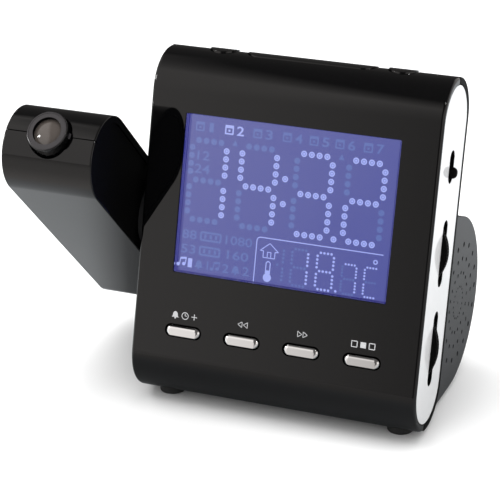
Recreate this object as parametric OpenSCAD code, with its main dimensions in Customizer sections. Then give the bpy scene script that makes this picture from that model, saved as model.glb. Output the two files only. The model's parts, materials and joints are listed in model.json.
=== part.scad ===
// Projection alarm clock: a leaning slab-shaped case with a lit display, a drum-shaped
// speaker housing behind it, and a swivelling projector arm on its left side.
// Millimetres, +Z up, front towards -Y, origin under the middle of the whole object.

/* [Case] */
// Width of the case, without the arm
case_w = 100; // [98:0.5:110]
// Length of the case from its round bottom to its round top, along the slab
case_h = 116.5; // [115.5:0.1:118]
// Thickness of the case; top and bottom are full rounds of this thickness
case_t = 28.6; // [28.4:0.1:29.4]
// Wall of the case shells, also the rim that shows around the side panels
wall = 2.5; // [2.3:0.1:2.6]
// How far the case leans back, in degrees
lean = 13.9; // [12:0.1:15]
// Gap that shows as the seam between two half shells
seam = 0.24; // [0.1:0.02:0.4]

/* [Display] */
// Width of the display window
window_w = 73.9; // [70:0.1:75]
// Height of the display window
window_h = 53.1; // [50:0.1:54]
// Height of the window's middle, along the slab
window_z = 69.1; // [68.5:0.1:69.5]

/* [Keys] */
// Width of a front key
key_w = 11.4; // [9:0.1:12]
// Height of a front key
key_h = 3.7; // [3:0.1:4.5]
// Height of the row of front keys, along the slab
key_z = 22.9; // [21:0.1:25]
// Distance from one front key to the next
key_pitch = 20.9; // [20.5:0.1:21.5]
// How far a front key stands out
key_proud = 0.8; // [0.6:0.1:1.2]
// How far any key can be pressed
key_travel = 0.5; // [0.3:0.05:0.5]
// Width of the snooze bar
snooze_w = 44.6; // [40:0.1:46]
// Depth of the snooze bar, and diameter of the two round top keys
top_key_d = 9.6; // [8:0.1:9.8]
// Distance of each round top key from the middle of the case
top_key_x = 31; // [30.5:0.1:33]

/* [Side controls] */
// Width of the three slots in the side panel
slot_w = 3.4; // [3.4:0.1:4]
// Height of the tuning wheel's middle, along the slab
tuning_z = 59.1; // [58.6:0.1:59.6]
// Radius of the tuning wheel
tuning_r = 13.4; // [12:0.1:13.6]
// Height of the volume wheel's middle, along the slab
volume_z = 27.5; // [27:0.1:28]
// Radius of the volume wheel
volume_r = 16.4; // [15:0.1:16.6]
// Rest height of the switch knob, along the slab
switch_z = 85.7; // [84.5:0.1:90]

/* [Rear housing] */
// Radius of the drum behind the case
drum_r = 30.2; // [30:0.1:30.6]
// Distance of the drum's axis behind the case's datum
drum_y = 51; // [50.8:0.1:52]
// Length of the rear housing, across the case
drum_w = 96; // [95:0.5:97]
// Wall of the rear housing
drum_wall = 2.4; // [2.2:0.1:2.6]
// Radius of the outer ring of speaker holes
grille_r = 20.2; // [20:0.1:20.4]

/* [Projector arm] */
// Width of the arm
arm_w = 31.85; // [31:0.05:34]
// Gap between the arm and the case
arm_gap = 2.25; // [2:0.05:3]
// How far the arm is swung forward from the closed position, in degrees
arm_open = 60.4; // [0:0.1:90]
// Radius of the focus ring
ring_r = 7.3; // [7.2:0.1:7.5]
// How far the focus ring stands out of the arm's nose
ring_out = 3; // [2.6:0.1:3.4]

/* [Hidden] */

$fn = 96;
fine = 32;             // facets on small round parts
eps = 0.01;            // overlap that joins or cuts cleanly
big = 200;             // longer than anything in the object

// Case
half_w = case_w / 2;
mid_t = case_t / 2;
top_z = case_h - mid_t;             // middle of the top round, along the slab
back_in = case_t - wall;            // inside of the back wall
panel_t = 2.2;
panel_out = half_w - 0.1;           // outer face of a side panel
panel_in = panel_out - panel_t;
panel_gap = 0.12;
ledge_t = 1.3;                      // inner lip that a side panel rests on
lip = half_w - panel_in + 0.1;      // how deep that lip lies in the shell's end
fit = 0.2;                          // gap around a piece that fits an opening
running = 0.08;                     // radial clearance of a bearing
board_t = 1.6;                      // thickness of every circuit board

// Screws and heat-staked pins
screw_x = half_w - 5.5;
case_screw_places = [for (side = [-1, 1], z = [7.5, 104]) [side * screw_x, z]];
boss_r = 2.8;
head_boss_r = 4;
pilot_r = 1.2;
shank_r = 1.15;
screw_tip_y = 6;
head_r = 2.6;
head_t = 1.7;
head_y = 21.5;                      // seat of a case screw's head, behind the front
cross_w = 0.7;                      // recess in a screw's head
cross_l = 3;
pin_r = 0.9;
pin_out = 0.4;                      // how far a staked pin passes its board

// Display, from the front backwards
window_corner = 1.5;
pane_y = 0.2;
glass = [window_w + 5, window_h + 7];
glass_back = wall + 2.2;
guide_back = glass_back + 3;
display_board_y = guide_back + 0.2;
display_rim = 1.5;
display_board_size = [glass[0] + 2 * display_rim, 70];
display_pins = [for (x = [-36, 36], z = [-33.3, 33.3]) [x, window_z + z]];

// Keys
key_xs = [-1.5, -0.5, 0.5, 1.5] * key_pitch;
key_gap = 0.35;
flange = 0.8;                       // how far a key's flange reaches past its cap
flange_t = 0.8;
key_back = wall + 0.1;              // front of a front key's flange
stem = 0.5;                         // nub that presses the switch
stem_r = 1.6;
switch_size = 6;
plunger_r = 1.7;
plunger_h = 0.6;
switch_gap = 0.2;                   // left between nub and plunger at full travel
key_switch_y = key_back + flange_t + stem + key_travel + switch_gap;
key_board_y = key_switch_y + 2.2;
key_board_size = [80, 10];
key_pins = [for (side = [-1, 1]) [side * key_pitch, key_z]];
top_flange_z = case_h - 5.9;
top_flange_t = 1.2;
top_switch_z = top_flange_z - stem - key_travel - switch_gap;
top_board_z = case_h - 11.9;
top_board_size = [76, 16];
snooze_proud = 0.3;
round_proud = 0.5;

// Side controls
wheel_t = 2.6;
wheel_out = 1.9;                    // how far both wheels stand out of the side
tuning_slot = [48.1, 70.1];
volume_slot = [15, 40];
switch_slot = [82, 92.9];
knob_r = 1.85;
knob_neck_r = 1.5;
knob_out = 2.1;
knob_dome_r = 2.6;
wheel_shaft_r = 3;
wheel_shaft_l = 2.4;
tuning_box = 16;
volume_box = 12;
control_y = mid_t + wheel_t / 2 + 0.4;

// Boards and parts in the case
main_board_y = 22;
board_left = -41;
board_right = 46;
board_bottom = 17;
board_top = 77;
board_tab_top = 92;                 // the narrow part that carries the slide switch
board_tab_left = 30;
board_pins = [for (x = [-36, 20], z = [24, 72]) [x, z]];
rod_at = [19.5, 97.5];              // the antenna rod's middle: depth, height
rod_r = 4;
rod_span = [-38, 32];
coil_r = 5;
coil_l = 14;
jack_x = -34;
jack_z = 86;
jack_r = 4.2;
jack_bore_r = 2.8;
jack_pin_r = 0.8;
jack_floor_y = 18;
wiring_hole = [60, 26];
wiring_hole_z = 42;

// Standing: the case leans on its feet
foot_r = 4.4;
foot_h = 2.15;
foot_x = 41;
rear_foot_x = 37;
round_drop = mid_t * (1 - cos(lean) + sin(lean));  // depth of the lowest point below the datum
lift = foot_h + round_drop;                        // from the floor up to the datum
low_y = mid_t * (cos(lean) + sin(lean));           // where the case is lowest

// Rear housing, in the upright frame of the case's datum
drum_z = drum_r - round_drop;
drum_in = drum_r - drum_wall;
drum_half = drum_w / 2;
cap_t = 2.4;                        // thickness of the perforated end plate
flat_from = 24;                     // front end of the flat underside
roof_slope = 18.4;
housing_screw_places = [for (side = [-1, 1], z = [18, 62]) [side * (drum_half - 7), z]];
housing_boss_l = 10;
grille_at = [49.2, 37.7];           // middle of the speaker holes: depth, height
grille_step = 4.9;
grille_hole_ds = [0.9, 1.3, 1.6, 1.9];
grille_count = 18;
speaker_r = 18;
speaker_rib = 1.2;                  // ring that holds the speaker off the end plate
door_span = 56;                     // degrees of the drum that the door covers
door_half = 27;
door_t = 1.3;
door_gap = 0.3;
bay = [48, 13, 22];                 // room for two AAA cells
tray_t = 1.2;

// Projector arm
arm_in = -half_w - arm_gap;
arm_out = arm_in - arm_w;
arm_x = (arm_in + arm_out) / 2;
pivot_z = case_h / 2;
arm_screw_places = [[arm_x - 8.4, 48], [arm_x + 8.4, 48], [arm_x, 14]];
hub_r = 7;
hub_flange_r = 12;
hub_bore_r = 3.2;
hub_end = -panel_in + 4;
retainer_r = 9.8;
wire_r = 0.6;
lens_hole_r = ring_r + 0.9;

// Optics, along the arm
led_board_z = 62;
barrel_z = led_board_z + board_t;
ring_z = case_h - 7;
ring_top = case_h + ring_out;
barrel_top = ring_z - 0.3;
barrel_r = 8;
cell_r = 6.2;
barrel_bore_r = cell_r + running;
condenser_z = 76;
condenser_sphere = 10.5;
lcd_z = 85;
lcd_t = 1.4;
lcd_size = 8.4;
stop_t = 1.6;
stop_r = 4.2;
cell_z = 97;
cell_top = ring_top - 1;
cell_bore_r = 4.4;
lens_r = 5.05;
lens_z = cell_top - 4.5;
lens_sphere = 12;
rib_zs = [70, 100];
rib_t = 2;
rib_half = 13;

// Place of the whole object over its origin
pivot_y = mid_t * cos(lean) + pivot_z * sin(lean);
aim = 90 - lean + arm_open;         // lens direction, from straight back
front_y = pivot_y + (ring_top - pivot_z) * cos(aim) - ring_r * sin(aim);
back_y = drum_y + drum_r;
shift = [-(half_w + knob_out + arm_out) / 2, -(front_y + back_y) / 2, lift];

black_gloss = [0.03, 0.03, 0.035];
black_satin = [0.10, 0.10, 0.11];
grey_satin = [0.28, 0.29, 0.30];
white_gloss = [0.93, 0.94, 0.95];
chrome = [0.80, 0.81, 0.83];
board_green = [0.06, 0.30, 0.16];
steel = [0.62, 0.63, 0.65];
copper = [0.72, 0.40, 0.20];

// ---------- frames ----------

// Upright frame: the case's datum, over the floor
module upright() { translate(shift) children(); }

// Frame of the leaning case: x across, y back from the front face, z up along the slab
module on_case() { upright() rotate([-lean, 0, 0]) children(); }

// Frame of the swung arm, which is the case's own frame when the arm is closed
module on_arm() {
  on_case() translate([0, mid_t, pivot_z]) rotate([arm_open, 0, 0])
    translate([0, -mid_t, -pivot_z]) children();
}

// Frame of the projector's optics: z runs along the arm and out through the lens
module on_lens() { on_arm() translate([arm_x, mid_t, 0]) children(); }

// Frame of the pivot, x along its axis
module on_pivot() { on_arm() translate([0, mid_t, pivot_z]) children(); }

// Repeats a part at each [x, z] of a list
module at(places) { for (p = places) translate([p[0], 0, p[1]]) children(); }

// ---------- shared shapes ----------

// Extrudes a y-z outline from x0 to x1
module along_x(x0, x1) {
  translate([x0, 0, 0]) rotate([90, 0, 90]) linear_extrude(x1 - x0) children();
}

// Extrudes an x-z outline from y0 to y1
module along_y(y0, y1) {
  translate([0, y1, 0]) rotate([90, 0, 0]) linear_extrude(y1 - y0) children();
}

// Cylinder along x
module rod_x(r, x0, x1) {
  translate([x0, 0, 0]) rotate([0, 90, 0]) cylinder(r = r, h = x1 - x0);
}

// Cylinder along y
module rod_y(r, y0, y1) {
  translate([0, y1, 0]) rotate([90, 0, 0]) cylinder(r = r, h = y1 - y0, $fn = fine);
}

// Cylinder along z
module rod_z(r, z0, z1) {
  translate([0, 0, z0]) cylinder(r = r, h = z1 - z0);
}

// Box centred on x and z, from y0 to y1
module block(w, h, y0, y1) {
  translate([-w / 2, y0, -h / 2]) cube([w, y1 - y0, h]);
}

// Side view of the slab, drawn in by inset
module slab_2d(inset = 0) {
  translate([mid_t, mid_t]) circle(mid_t - inset);
  translate([mid_t, top_z]) circle(mid_t - inset);
  translate([inset, mid_t]) square([case_t - 2 * inset, top_z - mid_t]);
}

// Outline with round ends
module pill_2d(w, h) {
  turn = w >= h ? 0 : 90;
  run = abs(w - h);
  rotate(turn) {
    for (side = [-1, 1]) translate([side * run / 2, 0]) circle(min(w, h) / 2, $fn = fine);
    if (run > 0) square([run, min(w, h)], center = true);
  }
}

// Rectangle with round corners
module rounded_2d(w, h, r) {
  square([w - 2 * r, h], center = true);
  square([w, h - 2 * r], center = true);
  for (sx = [-1, 1], sy = [-1, 1]) translate([sx * (w / 2 - r), sy * (h / 2 - r)])
    circle(r, $fn = fine);
}

// Circuit board across the case, with holes for its staked pins
module pinned_board(y, size, middle, pins) {
  difference() {
    translate([middle[0], 0, middle[1]]) block(size[0], size[1], y, y + board_t);
    at(pins) rod_y(pin_r + 0.1, y - 1, y + board_t + 1);
  }
}

// Cross-head screw from the back, shared by the case and the arm
module cross_screw() {
  rod_y(shank_r, screw_tip_y, head_y + eps);
  difference() {
    rod_y(head_r, head_y, head_y + head_t);
    for (a = [0, 90]) rotate([0, a, 0])
      block(cross_l, cross_w, head_y + 0.7, head_y + head_t + 1);
  }
}

// Tube of the slab's outline, with an inner lip near each end for the side panels
module shell_tube(x0, x1) {
  difference() {
    along_x(x0, x1) slab_2d();
    along_x(x0 - 1, x1 + 1) slab_2d(wall);
  }
  for (start = [x0 + lip, x1 - lip - ledge_t]) difference() {
    along_x(start, start + ledge_t) slab_2d(wall - eps);
    along_x(start - 1, start + ledge_t + 1) slab_2d(wall + ledge_t);
  }
}

// Front half of a shell, with pilot bosses for its screws; children are its inner bosses
module front_half(x0, x1, screws) {
  difference() {
    union() {
      intersection() {
        shell_tube(x0, x1);
        translate([-big / 2, -big, -big / 4]) cube([big, big + mid_t - seam / 2, big]);
      }
      intersection() {
        union() {
          at(screws) rod_y(boss_r, 0.5, mid_t);
          children();
        }
        along_x(x0 + lip, x1 - lip) slab_2d(wall / 2);
      }
    }
    at(screws) rod_y(pilot_r, screw_tip_y - 2, mid_t + 1);
  }
}

// Rear half of a shell, with sunk heads for its screws; children are its inner bosses
module rear_half(x0, x1, screws) {
  difference() {
    union() {
      intersection() {
        shell_tube(x0, x1);
        translate([-big / 2, mid_t + seam / 2, -big / 4]) cube([big, big, big]);
      }
      intersection() {
        union() {
          at(screws) rod_y(head_boss_r, mid_t, case_t);
          children();
        }
        along_x(x0 + lip, x1 - lip) slab_2d(wall / 2);
      }
    }
    at(screws) {
      rod_y(shank_r + 0.2, mid_t - 1, case_t);
      rod_y(head_r + 0.3, head_y, case_t + 1);
    }
  }
}

// ---------- case ----------

// Openings for the three top keys, which straddle the seam
module top_key_holes() {
  d = top_key_d + 2 * key_gap;
  translate([0, mid_t, top_z]) linear_extrude(big) {
    pill_2d(snooze_w + 2 * key_gap, d);
    for (side = [-1, 1]) translate([side * top_key_x, 0]) circle(d = d);
  }
}

// Stand-off with a pin that is staked through a board
module board_post(r, y0, y1) {
  rod_y(r, y0, y1);
  rod_y(pin_r, y0, y1 + board_t + pin_out);
}

module front_shell() {
  color(black_gloss) on_case() difference() {
    front_half(-half_w, half_w, case_screw_places) {
      at(display_pins) board_post(1.6, 0.5, display_board_y);
      at(key_pins) board_post(2.2, 0.5, key_board_y);
    }
    along_y(-1, wall + eps) {
      translate([0, window_z]) rounded_2d(window_w, window_h, window_corner);
      for (x = key_xs) translate([x, key_z]) pill_2d(key_w + 2 * key_gap, key_h + 2 * key_gap);
    }
    top_key_holes();
  }
}

// Two saddles for the antenna rod and two ribs under the top key board
module rear_supports() {
  for (x = [rod_span[0] + 6, rod_span[1] - 4]) difference() {
    translate([x, rod_at[0], rod_at[1] - rod_r]) cube([2, case_t - rod_at[0], 2 * rod_r]);
    translate([0, rod_at[0], rod_at[1]]) rod_x(rod_r, x - 1, x + 3);
  }
  for (x = [-36, 34]) translate([x, mid_t, rod_at[1] + rod_r + 0.2])
    cube([2, mid_t, top_board_z - rod_at[1] - rod_r - 0.2]);
}

module rear_shell() {
  color(black_gloss) on_case() difference() {
    rear_half(-half_w, half_w, case_screw_places) {
      at(board_pins) {
        rod_y(boss_r, main_board_y + board_t, case_t);
        rod_y(pin_r, main_board_y - pin_out, case_t);
      }
      rear_supports();
    }
    top_key_holes();
    translate([jack_x, 0, jack_z]) rod_y(jack_r, back_in - 1, case_t + 1);
    along_y(back_in - 1, case_t + 1) translate([0, wiring_hole_z])
      rounded_2d(wiring_hole[0], wiring_hole[1], 3);
    at(housing_screw_places) rod_y(shank_r + 0.2, back_in - 1, case_t + 1);
  }
}

module side_panel_right() {
  color(white_gloss) on_case() difference() {
    along_x(panel_in, panel_out) slab_2d(wall + panel_gap);
    along_x(panel_in - 1, panel_out + 1) for (slot = [switch_slot, tuning_slot, volume_slot])
      translate([mid_t, (slot[0] + slot[1]) / 2]) pill_2d(slot_w, slot[1] - slot[0]);
  }
}

module side_panel_left() {
  color(black_satin) on_case() difference() {
    along_x(-panel_out, -panel_in) slab_2d(wall + panel_gap);
    translate([0, mid_t, pivot_z]) rod_x(hub_r + running, -half_w - 1, -panel_in + 1);
  }
}

module case_screws() { color(steel) on_case() at(case_screw_places) cross_screw(); }

// The front feet stand under the round bottom, the rear feet under the housing
module rubber_feet() {
  color(black_satin) upright() {
    for (side = [-1, 1]) difference() {
      translate([side * foot_x, low_y, 0]) rod_z(foot_r, -lift, 1.2 - round_drop);
      rotate([-lean, 0, 0]) along_x(-half_w, half_w) slab_2d();
    }
    for (side = [-1, 1]) translate([side * rear_foot_x, drum_y - foot_r - 1, 0])
      rod_z(foot_r, -lift, -round_drop);
  }
}

// ---------- rear housing ----------

// Side view of the housing: drum, tangent roof and flat underside, drawn in by inset
module housing_2d(inset = 0) {
  r = drum_r - inset;
  roof = [drum_y, drum_z] + r * [sin(roof_slope), cos(roof_slope)];
  translate([drum_y, drum_z]) circle(r);
  polygon([
    roof + 2 * r * [-cos(roof_slope), sin(roof_slope)], roof, [drum_y, drum_z],
    [drum_y, drum_z - r], [flat_from + inset, drum_z - r], [flat_from + inset, drum_z], [0, case_t]
  ]);
}

// The leaning case and all that lies in front of it, to cut the housing's open side
module case_side() {
  rotate([-lean, 0, 0]) along_x(-half_w, half_w) {
    slab_2d();
    translate([case_t - big, mid_t]) square([big, big]);
    translate([mid_t - big, -big / 2]) square([big, big / 2 + mid_t]);
  }
}

// Part of the drum's wall between radii r0 and r1, as the battery door and its recess take
module door_sector(r0, r1, half_x, span) {
  translate([0, drum_y, drum_z]) intersection() {
    difference() {
      rod_x(r1, -half_x, half_x);
      rod_x(r0, -half_x - 1, half_x + 1);
    }
    along_x(-half_x, half_x) polygon([
      [0, 0], big * [cos(span / 2), -sin(span / 2)], big * [cos(span / 2), sin(span / 2)]
    ]);
  }
}

// The battery bay's room, grown by a wall
module bay_room(grow, reach) {
  translate([-bay[0] / 2 - grow, drum_y + drum_in - bay[1] - grow, drum_z - bay[2] / 2 - grow])
    cube([bay[0] + 2 * grow, bay[1] + grow + reach, bay[2] + 2 * grow]);
}

module rear_housing() {
  recess_span = door_span + 2 * door_gap / drum_r * 180 / PI;
  color(grey_satin) upright() difference() {
    union() {
      difference() {
        along_x(-drum_half, drum_half - cap_t) housing_2d();
        along_x(-drum_half + drum_wall, drum_half) housing_2d(drum_wall);
      }
      rotate([-lean, 0, 0]) at(housing_screw_places) rod_y(boss_r, case_t, case_t + housing_boss_l);
    }
    case_side();
    rotate([-lean, 0, 0]) at(housing_screw_places) rod_y(pilot_r, case_t - 1, case_t + 8);
    door_sector(drum_r - door_t - door_gap, drum_r + 1, door_half + door_gap, recess_span);
    bay_room(0, drum_wall + 1);
  }
}

module housing_screws() {
  color(steel) on_case() at(housing_screw_places) {
    rod_y(shank_r, back_in - eps, case_t + 7);
    rod_y(head_r, back_in - head_t, back_in);
  }
}

module grille_holes() {
  x0 = drum_half - cap_t - 1;
  for (ring = [0 : 3], i = [0 : grille_count - 1]) {
    r = grille_r - grille_step * (3 - ring);
    a = (i + 0.5) * 360 / grille_count;
    translate([0, r * cos(a), r * sin(a)]) rod_x(grille_hole_ds[ring] / 2, x0, drum_half + 1);
  }
  rod_x(grille_hole_ds[0] / 2, x0, drum_half + 1);
}

module speaker_grille() {
  color(grey_satin) upright() {
    difference() {
      along_x(drum_half - cap_t, drum_half) housing_2d();
      case_side();
      rotate([-lean, 0, 0]) translate([0, grille_at[0], grille_at[1]]) grille_holes($fn = fine);
    }
    rotate([-lean, 0, 0]) translate([drum_half - cap_t, grille_at[0], grille_at[1]])
      rotate([0, -90, 0]) difference() {
        rod_z(speaker_r, -eps, speaker_rib);
        rod_z(speaker_r - 1.2, -1, speaker_rib + 1);
      }
  }
}

// Frame of the speaker: z runs from the end plate into the drum
module on_speaker() {
  upright() rotate([-lean, 0, 0])
    translate([drum_half - cap_t - speaker_rib, grille_at[0], grille_at[1]])
    rotate([0, -90, 0]) children();
}

module speaker_frame() {
  color(steel) on_speaker() difference() {
    rotate_extrude() polygon([
      [14.8, 0], [speaker_r, 0], [speaker_r, 1.2], [16, 1.2], [11.5, 8], [11.5, 9.5],
      [3, 9.5], [3, 8.6], [10.6, 8.6], [10.6, 7.6], [14.8, 1]
    ]);
    for (a = [0 : 90 : 270]) rotate(a) translate([13.4, 0, 4.6])
      rotate([0, 56, 0]) cylinder(r = 2.2, h = 5, center = true, $fn = fine);
  }
}

module speaker_magnet() {
  color(black_satin) on_speaker() difference() {
    rod_z(10, 9.5, 15.5);
    rod_z(2.5, 9, 17);
  }
}

module speaker_cone() {
  color(black_satin) on_speaker() rotate_extrude() polygon([
    [14.8, 0.3], [13.4, 1.2], [5.5, 5.8], [0, 4.8], [0, 5.4], [5.6, 6.4], [13.5, 1.9], [14.8, 0.9]
  ]);
}

module battery_tray() {
  color(grey_satin) upright() difference() {
    intersection() {
      bay_room(tray_t, 0);
      translate([0, drum_y, drum_z]) rod_x(drum_in, -big / 2, big / 2);
    }
    bay_room(0, 1);
  }
}

// A plate at each end of the bay, with one coil spring on each
module battery_contacts() {
  color(chrome) upright() translate([0, drum_y + drum_in - bay[1] / 2, drum_z])
    for (flip = [0, 1]) mirror([flip, 0, 0]) {
      translate([bay[0] / 2 - 0.5, -4.5, -9]) cube([0.5, 9, 18]);
      for (turn = [0 : 2]) translate([bay[0] / 2 - 0.8 - turn * 0.9, 0, 5.4 - 10.8 * flip])
        rotate([0, 90, 0]) rotate_extrude() translate([3.4 - 0.7 * turn, 0])
          circle(0.4, $fn = 16);
    }
}

module battery_door() {
  color(grey_satin) upright() {
    door_sector(drum_r - door_t, drum_r, door_half, door_span);
    translate([0, drum_y, drum_z]) for (i = [0 : 3]) rotate([door_span / 2 - 8 - 3 * i, 0, 0])
      translate([-6, drum_r - 0.4, -0.3]) cube([12, 0.7, 0.6]);
  }
}

// ---------- display ----------

module display_window() {
  color([0.45, 0.50, 0.85, 0.5]) on_case() along_y(pane_y, wall) translate([0, window_z])
    rounded_2d(window_w - 2 * fit, window_h - 2 * fit, window_corner - fit);
}

module display_glass() {
  color([0.38, 0.40, 0.72]) on_case() translate([0, 0, window_z])
    block(glass[0], glass[1], wall, glass_back);
}

// Clear plate behind the display, with its lamps in the lower edge
module light_guide() {
  h = glass[1] - 5;
  color([0.75, 0.80, 0.98]) on_case() translate([0, 0, window_z]) {
    block(glass[0], h, glass_back, guide_back);
    for (x = [-24, 0, 24]) translate([x, 0, -h / 2 - 1 + eps])
      block(4, 2, glass_back + 0.5, guide_back - 0.5);
  }
}

module display_frame() {
  color(white_gloss) on_case() translate([0, 0, window_z]) difference() {
    block(glass[0] + 2 * display_rim, glass[1] + 2 * display_rim, wall, display_board_y);
    block(glass[0] + 0.2, glass[1] + 0.2, wall - 1, display_board_y + 1);
  }
}

module display_connector() {
  color([0.85, 0.45, 0.50]) on_case() translate([0, 0, window_z + glass[1] / 2 - 1.2])
    block(66, 1.6, glass_back, display_board_y);
}

module display_board() {
  color(board_green) on_case()
    pinned_board(display_board_y, display_board_size, [0, window_z], display_pins);
}

// ---------- keys ----------

// Pill-shaped key that stands out of the front, with a flange behind the wall
module front_key(i) {
  step = key_proud / 2;
  color(chrome) on_case() translate([key_xs[i], 0, key_z]) {
    along_y(-key_proud, -step) pill_2d(key_w - 2 * step, key_h - 2 * step);
    along_y(-step, key_back + eps) pill_2d(key_w, key_h);
    along_y(key_back, key_back + flange_t) pill_2d(key_w + 2 * flange, key_h + 2 * flange);
    rod_y(stem_r, key_back + flange_t - eps, key_back + flange_t + stem);
  }
}

module alarm_key() { front_key(0); }
module back_key() { front_key(1); }
module forward_key() { front_key(2); }
module mode_key() { front_key(3); }

// Key in the round top, its face curved like the case and a little higher
module top_key(x, w, proud) {
  color(black_gloss) on_case() {
    intersection() {
      translate([x, mid_t, top_flange_z]) linear_extrude(big) pill_2d(w, top_key_d);
      along_x(-half_w, half_w) slab_2d(-proud);
    }
    translate([x, mid_t, 0]) {
      translate([0, 0, top_flange_z]) linear_extrude(top_flange_t)
        pill_2d(w + 2 * flange, top_key_d + 2 * flange);
      rod_z(stem_r, top_flange_z - stem, top_flange_z + eps);
    }
  }
}

module snooze_bar() { top_key(0, snooze_w, snooze_proud); }
module top_left_key() { top_key(-top_key_x, top_key_d, round_proud); }
module top_right_key() { top_key(top_key_x, top_key_d, round_proud); }

module front_key_board() {
  color(board_green) on_case() pinned_board(key_board_y, key_board_size, [0, key_z], key_pins);
}

module top_key_board() {
  color(board_green) on_case()
    translate([-top_board_size[0] / 2, mid_t - top_board_size[1] / 2, top_board_z])
    cube([top_board_size[0], top_board_size[1], board_t]);
}

// Push switch standing on z = 0 with its plunger up to z = h
module push_switch(h) {
  translate([-switch_size / 2, -switch_size / 2, 0])
    cube([switch_size, switch_size, h - plunger_h]);
  rod_z(plunger_r, h - plunger_h - eps, h);
}

module key_switches() {
  color(steel) on_case() {
    for (x = key_xs) translate([x, key_board_y, key_z]) rotate([90, 0, 0])
      push_switch(key_board_y - key_switch_y);
    for (x = [-top_key_x, 0, top_key_x]) translate([x, mid_t, top_board_z + board_t])
      push_switch(top_switch_z - top_board_z - board_t);
  }
}

// ---------- side controls ----------

module switch_knob() {
  cap_x = half_w + 0.1;
  tip_x = half_w + knob_out;
  color(black_satin) on_case() translate([0, mid_t, switch_z]) {
    rod_x(knob_neck_r, panel_in - 1.2, cap_x + eps, $fn = fine);
    rotate([0, 90, 0]) rotate_extrude() intersection() {
      translate([0, cap_x]) square([knob_r, knob_out]);
      translate([0, tip_x - knob_dome_r]) circle(knob_dome_r);
    }
  }
}

// Body of the switch, on legs that stand on the main board
module slide_switch() {
  middle = (switch_slot[0] + switch_slot[1]) / 2;
  color(steel) on_case() translate([panel_in - 1.4 - 10.3, mid_t - 3.2, middle - 8]) {
    cube([10.3, 6.4, 16]);
    translate([2, 0, 1.6]) cube([6, main_board_y - mid_t + 3.2, 10.4]);
  }
}

// Thumbwheel lying across the case, with the stub that turns its control
module thumbwheel(r, z) {
  color(black_satin) on_case() translate([half_w + wheel_out - r, mid_t, z]) {
    rotate([90, 0, 0]) cylinder(r = r, h = wheel_t, center = true);
    rod_y(wheel_shaft_r, wheel_t / 2 - eps, wheel_t / 2 + wheel_shaft_l);
  }
}

module tuning_wheel() { thumbwheel(tuning_r, tuning_z); }
module volume_wheel() { thumbwheel(volume_r, volume_z); }

// Boxed control on the main board, with the bearing of a thumbwheel
module wheel_control(r, z, size) {
  on_case() translate([half_w + wheel_out - r, 0, z]) difference() {
    block(size, size, control_y, main_board_y);
    rod_y(wheel_shaft_r + running, control_y - 1, mid_t + wheel_t / 2 + wheel_shaft_l + 0.3);
  }
}

module tuning_capacitor() {
  color(white_gloss) wheel_control(tuning_r, tuning_z, tuning_box);
}

module volume_control() {
  color(steel) wheel_control(volume_r, volume_z, volume_box);
}

// ---------- electronics in the case ----------

module main_board() {
  color(board_green) on_case() difference() {
    along_y(main_board_y, main_board_y + board_t) {
      translate([board_left, board_bottom])
        square([board_right - board_left, board_top - board_bottom]);
      translate([board_tab_left, board_bottom])
        square([board_right - board_tab_left, board_tab_top - board_bottom]);
    }
    at(board_pins) rod_y(pin_r + 0.1, main_board_y - 1, main_board_y + board_t + 1);
  }
}

module board_chips() {
  color(black_satin) on_case() for (chip = [[-14, 56, 14, 14], [-30, 34, 10, 6], [2, 30, 8, 12]])
    translate([chip[0], 0, chip[1]]) block(chip[2], chip[3], main_board_y - 2.2, main_board_y);
}

module on_rod() { on_case() translate([0, rod_at[0], rod_at[1]]) children(); }

module ferrite_rod() { color(black_satin) on_rod() rod_x(rod_r, rod_span[0], rod_span[1]); }

module antenna_coils() {
  color(copper) on_rod() for (x = [-26, 8]) difference() {
    rod_x(coil_r, x, x + coil_l);
    rod_x(rod_r, x - 1, x + coil_l + 1);
  }
}

module dc_jack() {
  color(black_satin) on_case() translate([jack_x, 0, jack_z]) {
    difference() {
      union() {
        block(9, 9, jack_floor_y - 2, back_in);
        rod_y(jack_r - fit, back_in - eps, case_t);
      }
      rod_y(jack_bore_r, jack_floor_y, case_t + 1);
    }
    rod_y(jack_pin_r, jack_floor_y - eps, case_t - 1);
  }
}

// Four wires from the projector through the hub, bent back to the main board
module projector_wires() {
  ring = 2 * wire_r;
  color([0.70, 0.15, 0.12]) on_case() for (i = [0 : 3]) {
    y = mid_t + ring * cos(90 * i);
    z = pivot_z + ring * sin(90 * i);
    bend_x = hub_end + 5.7 + 1.6 * i;
    translate([0, y, z]) rod_x(wire_r, arm_in - 6, bend_x, $fn = fine);
    translate([bend_x, y, z]) sphere(wire_r, $fn = fine);
    translate([bend_x, 0, z]) rod_y(wire_r, y, main_board_y);
  }
}

// ---------- projector arm ----------

// The half of an arm's inner ribs that clamps the barrel
module barrel_ribs() {
  for (z = rib_zs) translate([arm_x, mid_t, z]) difference() {
    translate([-rib_half, -mid_t, 0]) cube([2 * rib_half, case_t, rib_t]);
    rod_z(barrel_r, -1, rib_t + 1);
  }
}

module lens_hole() { translate([arm_x, mid_t, 0]) rod_z(lens_hole_r, top_z, big); }

module arm_front_shell() {
  color(black_gloss) on_arm() difference() {
    front_half(arm_out, arm_in, arm_screw_places) intersection() {
      barrel_ribs();
      translate([arm_out, 0, 0]) cube([arm_w, mid_t - seam / 2, case_h]);
    }
    lens_hole();
  }
}

module arm_rear_shell() {
  color(black_gloss) on_arm() difference() {
    rear_half(arm_out, arm_in, arm_screw_places) intersection() {
      barrel_ribs();
      translate([arm_out, mid_t + seam / 2, 0]) cube([arm_w, mid_t, case_h]);
    }
    lens_hole();
  }
}

module arm_outer_panel() {
  color(white_gloss) on_arm() along_x(arm_out + 0.1, arm_out + 0.1 + panel_t)
    slab_2d(wall + panel_gap);
}

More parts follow.
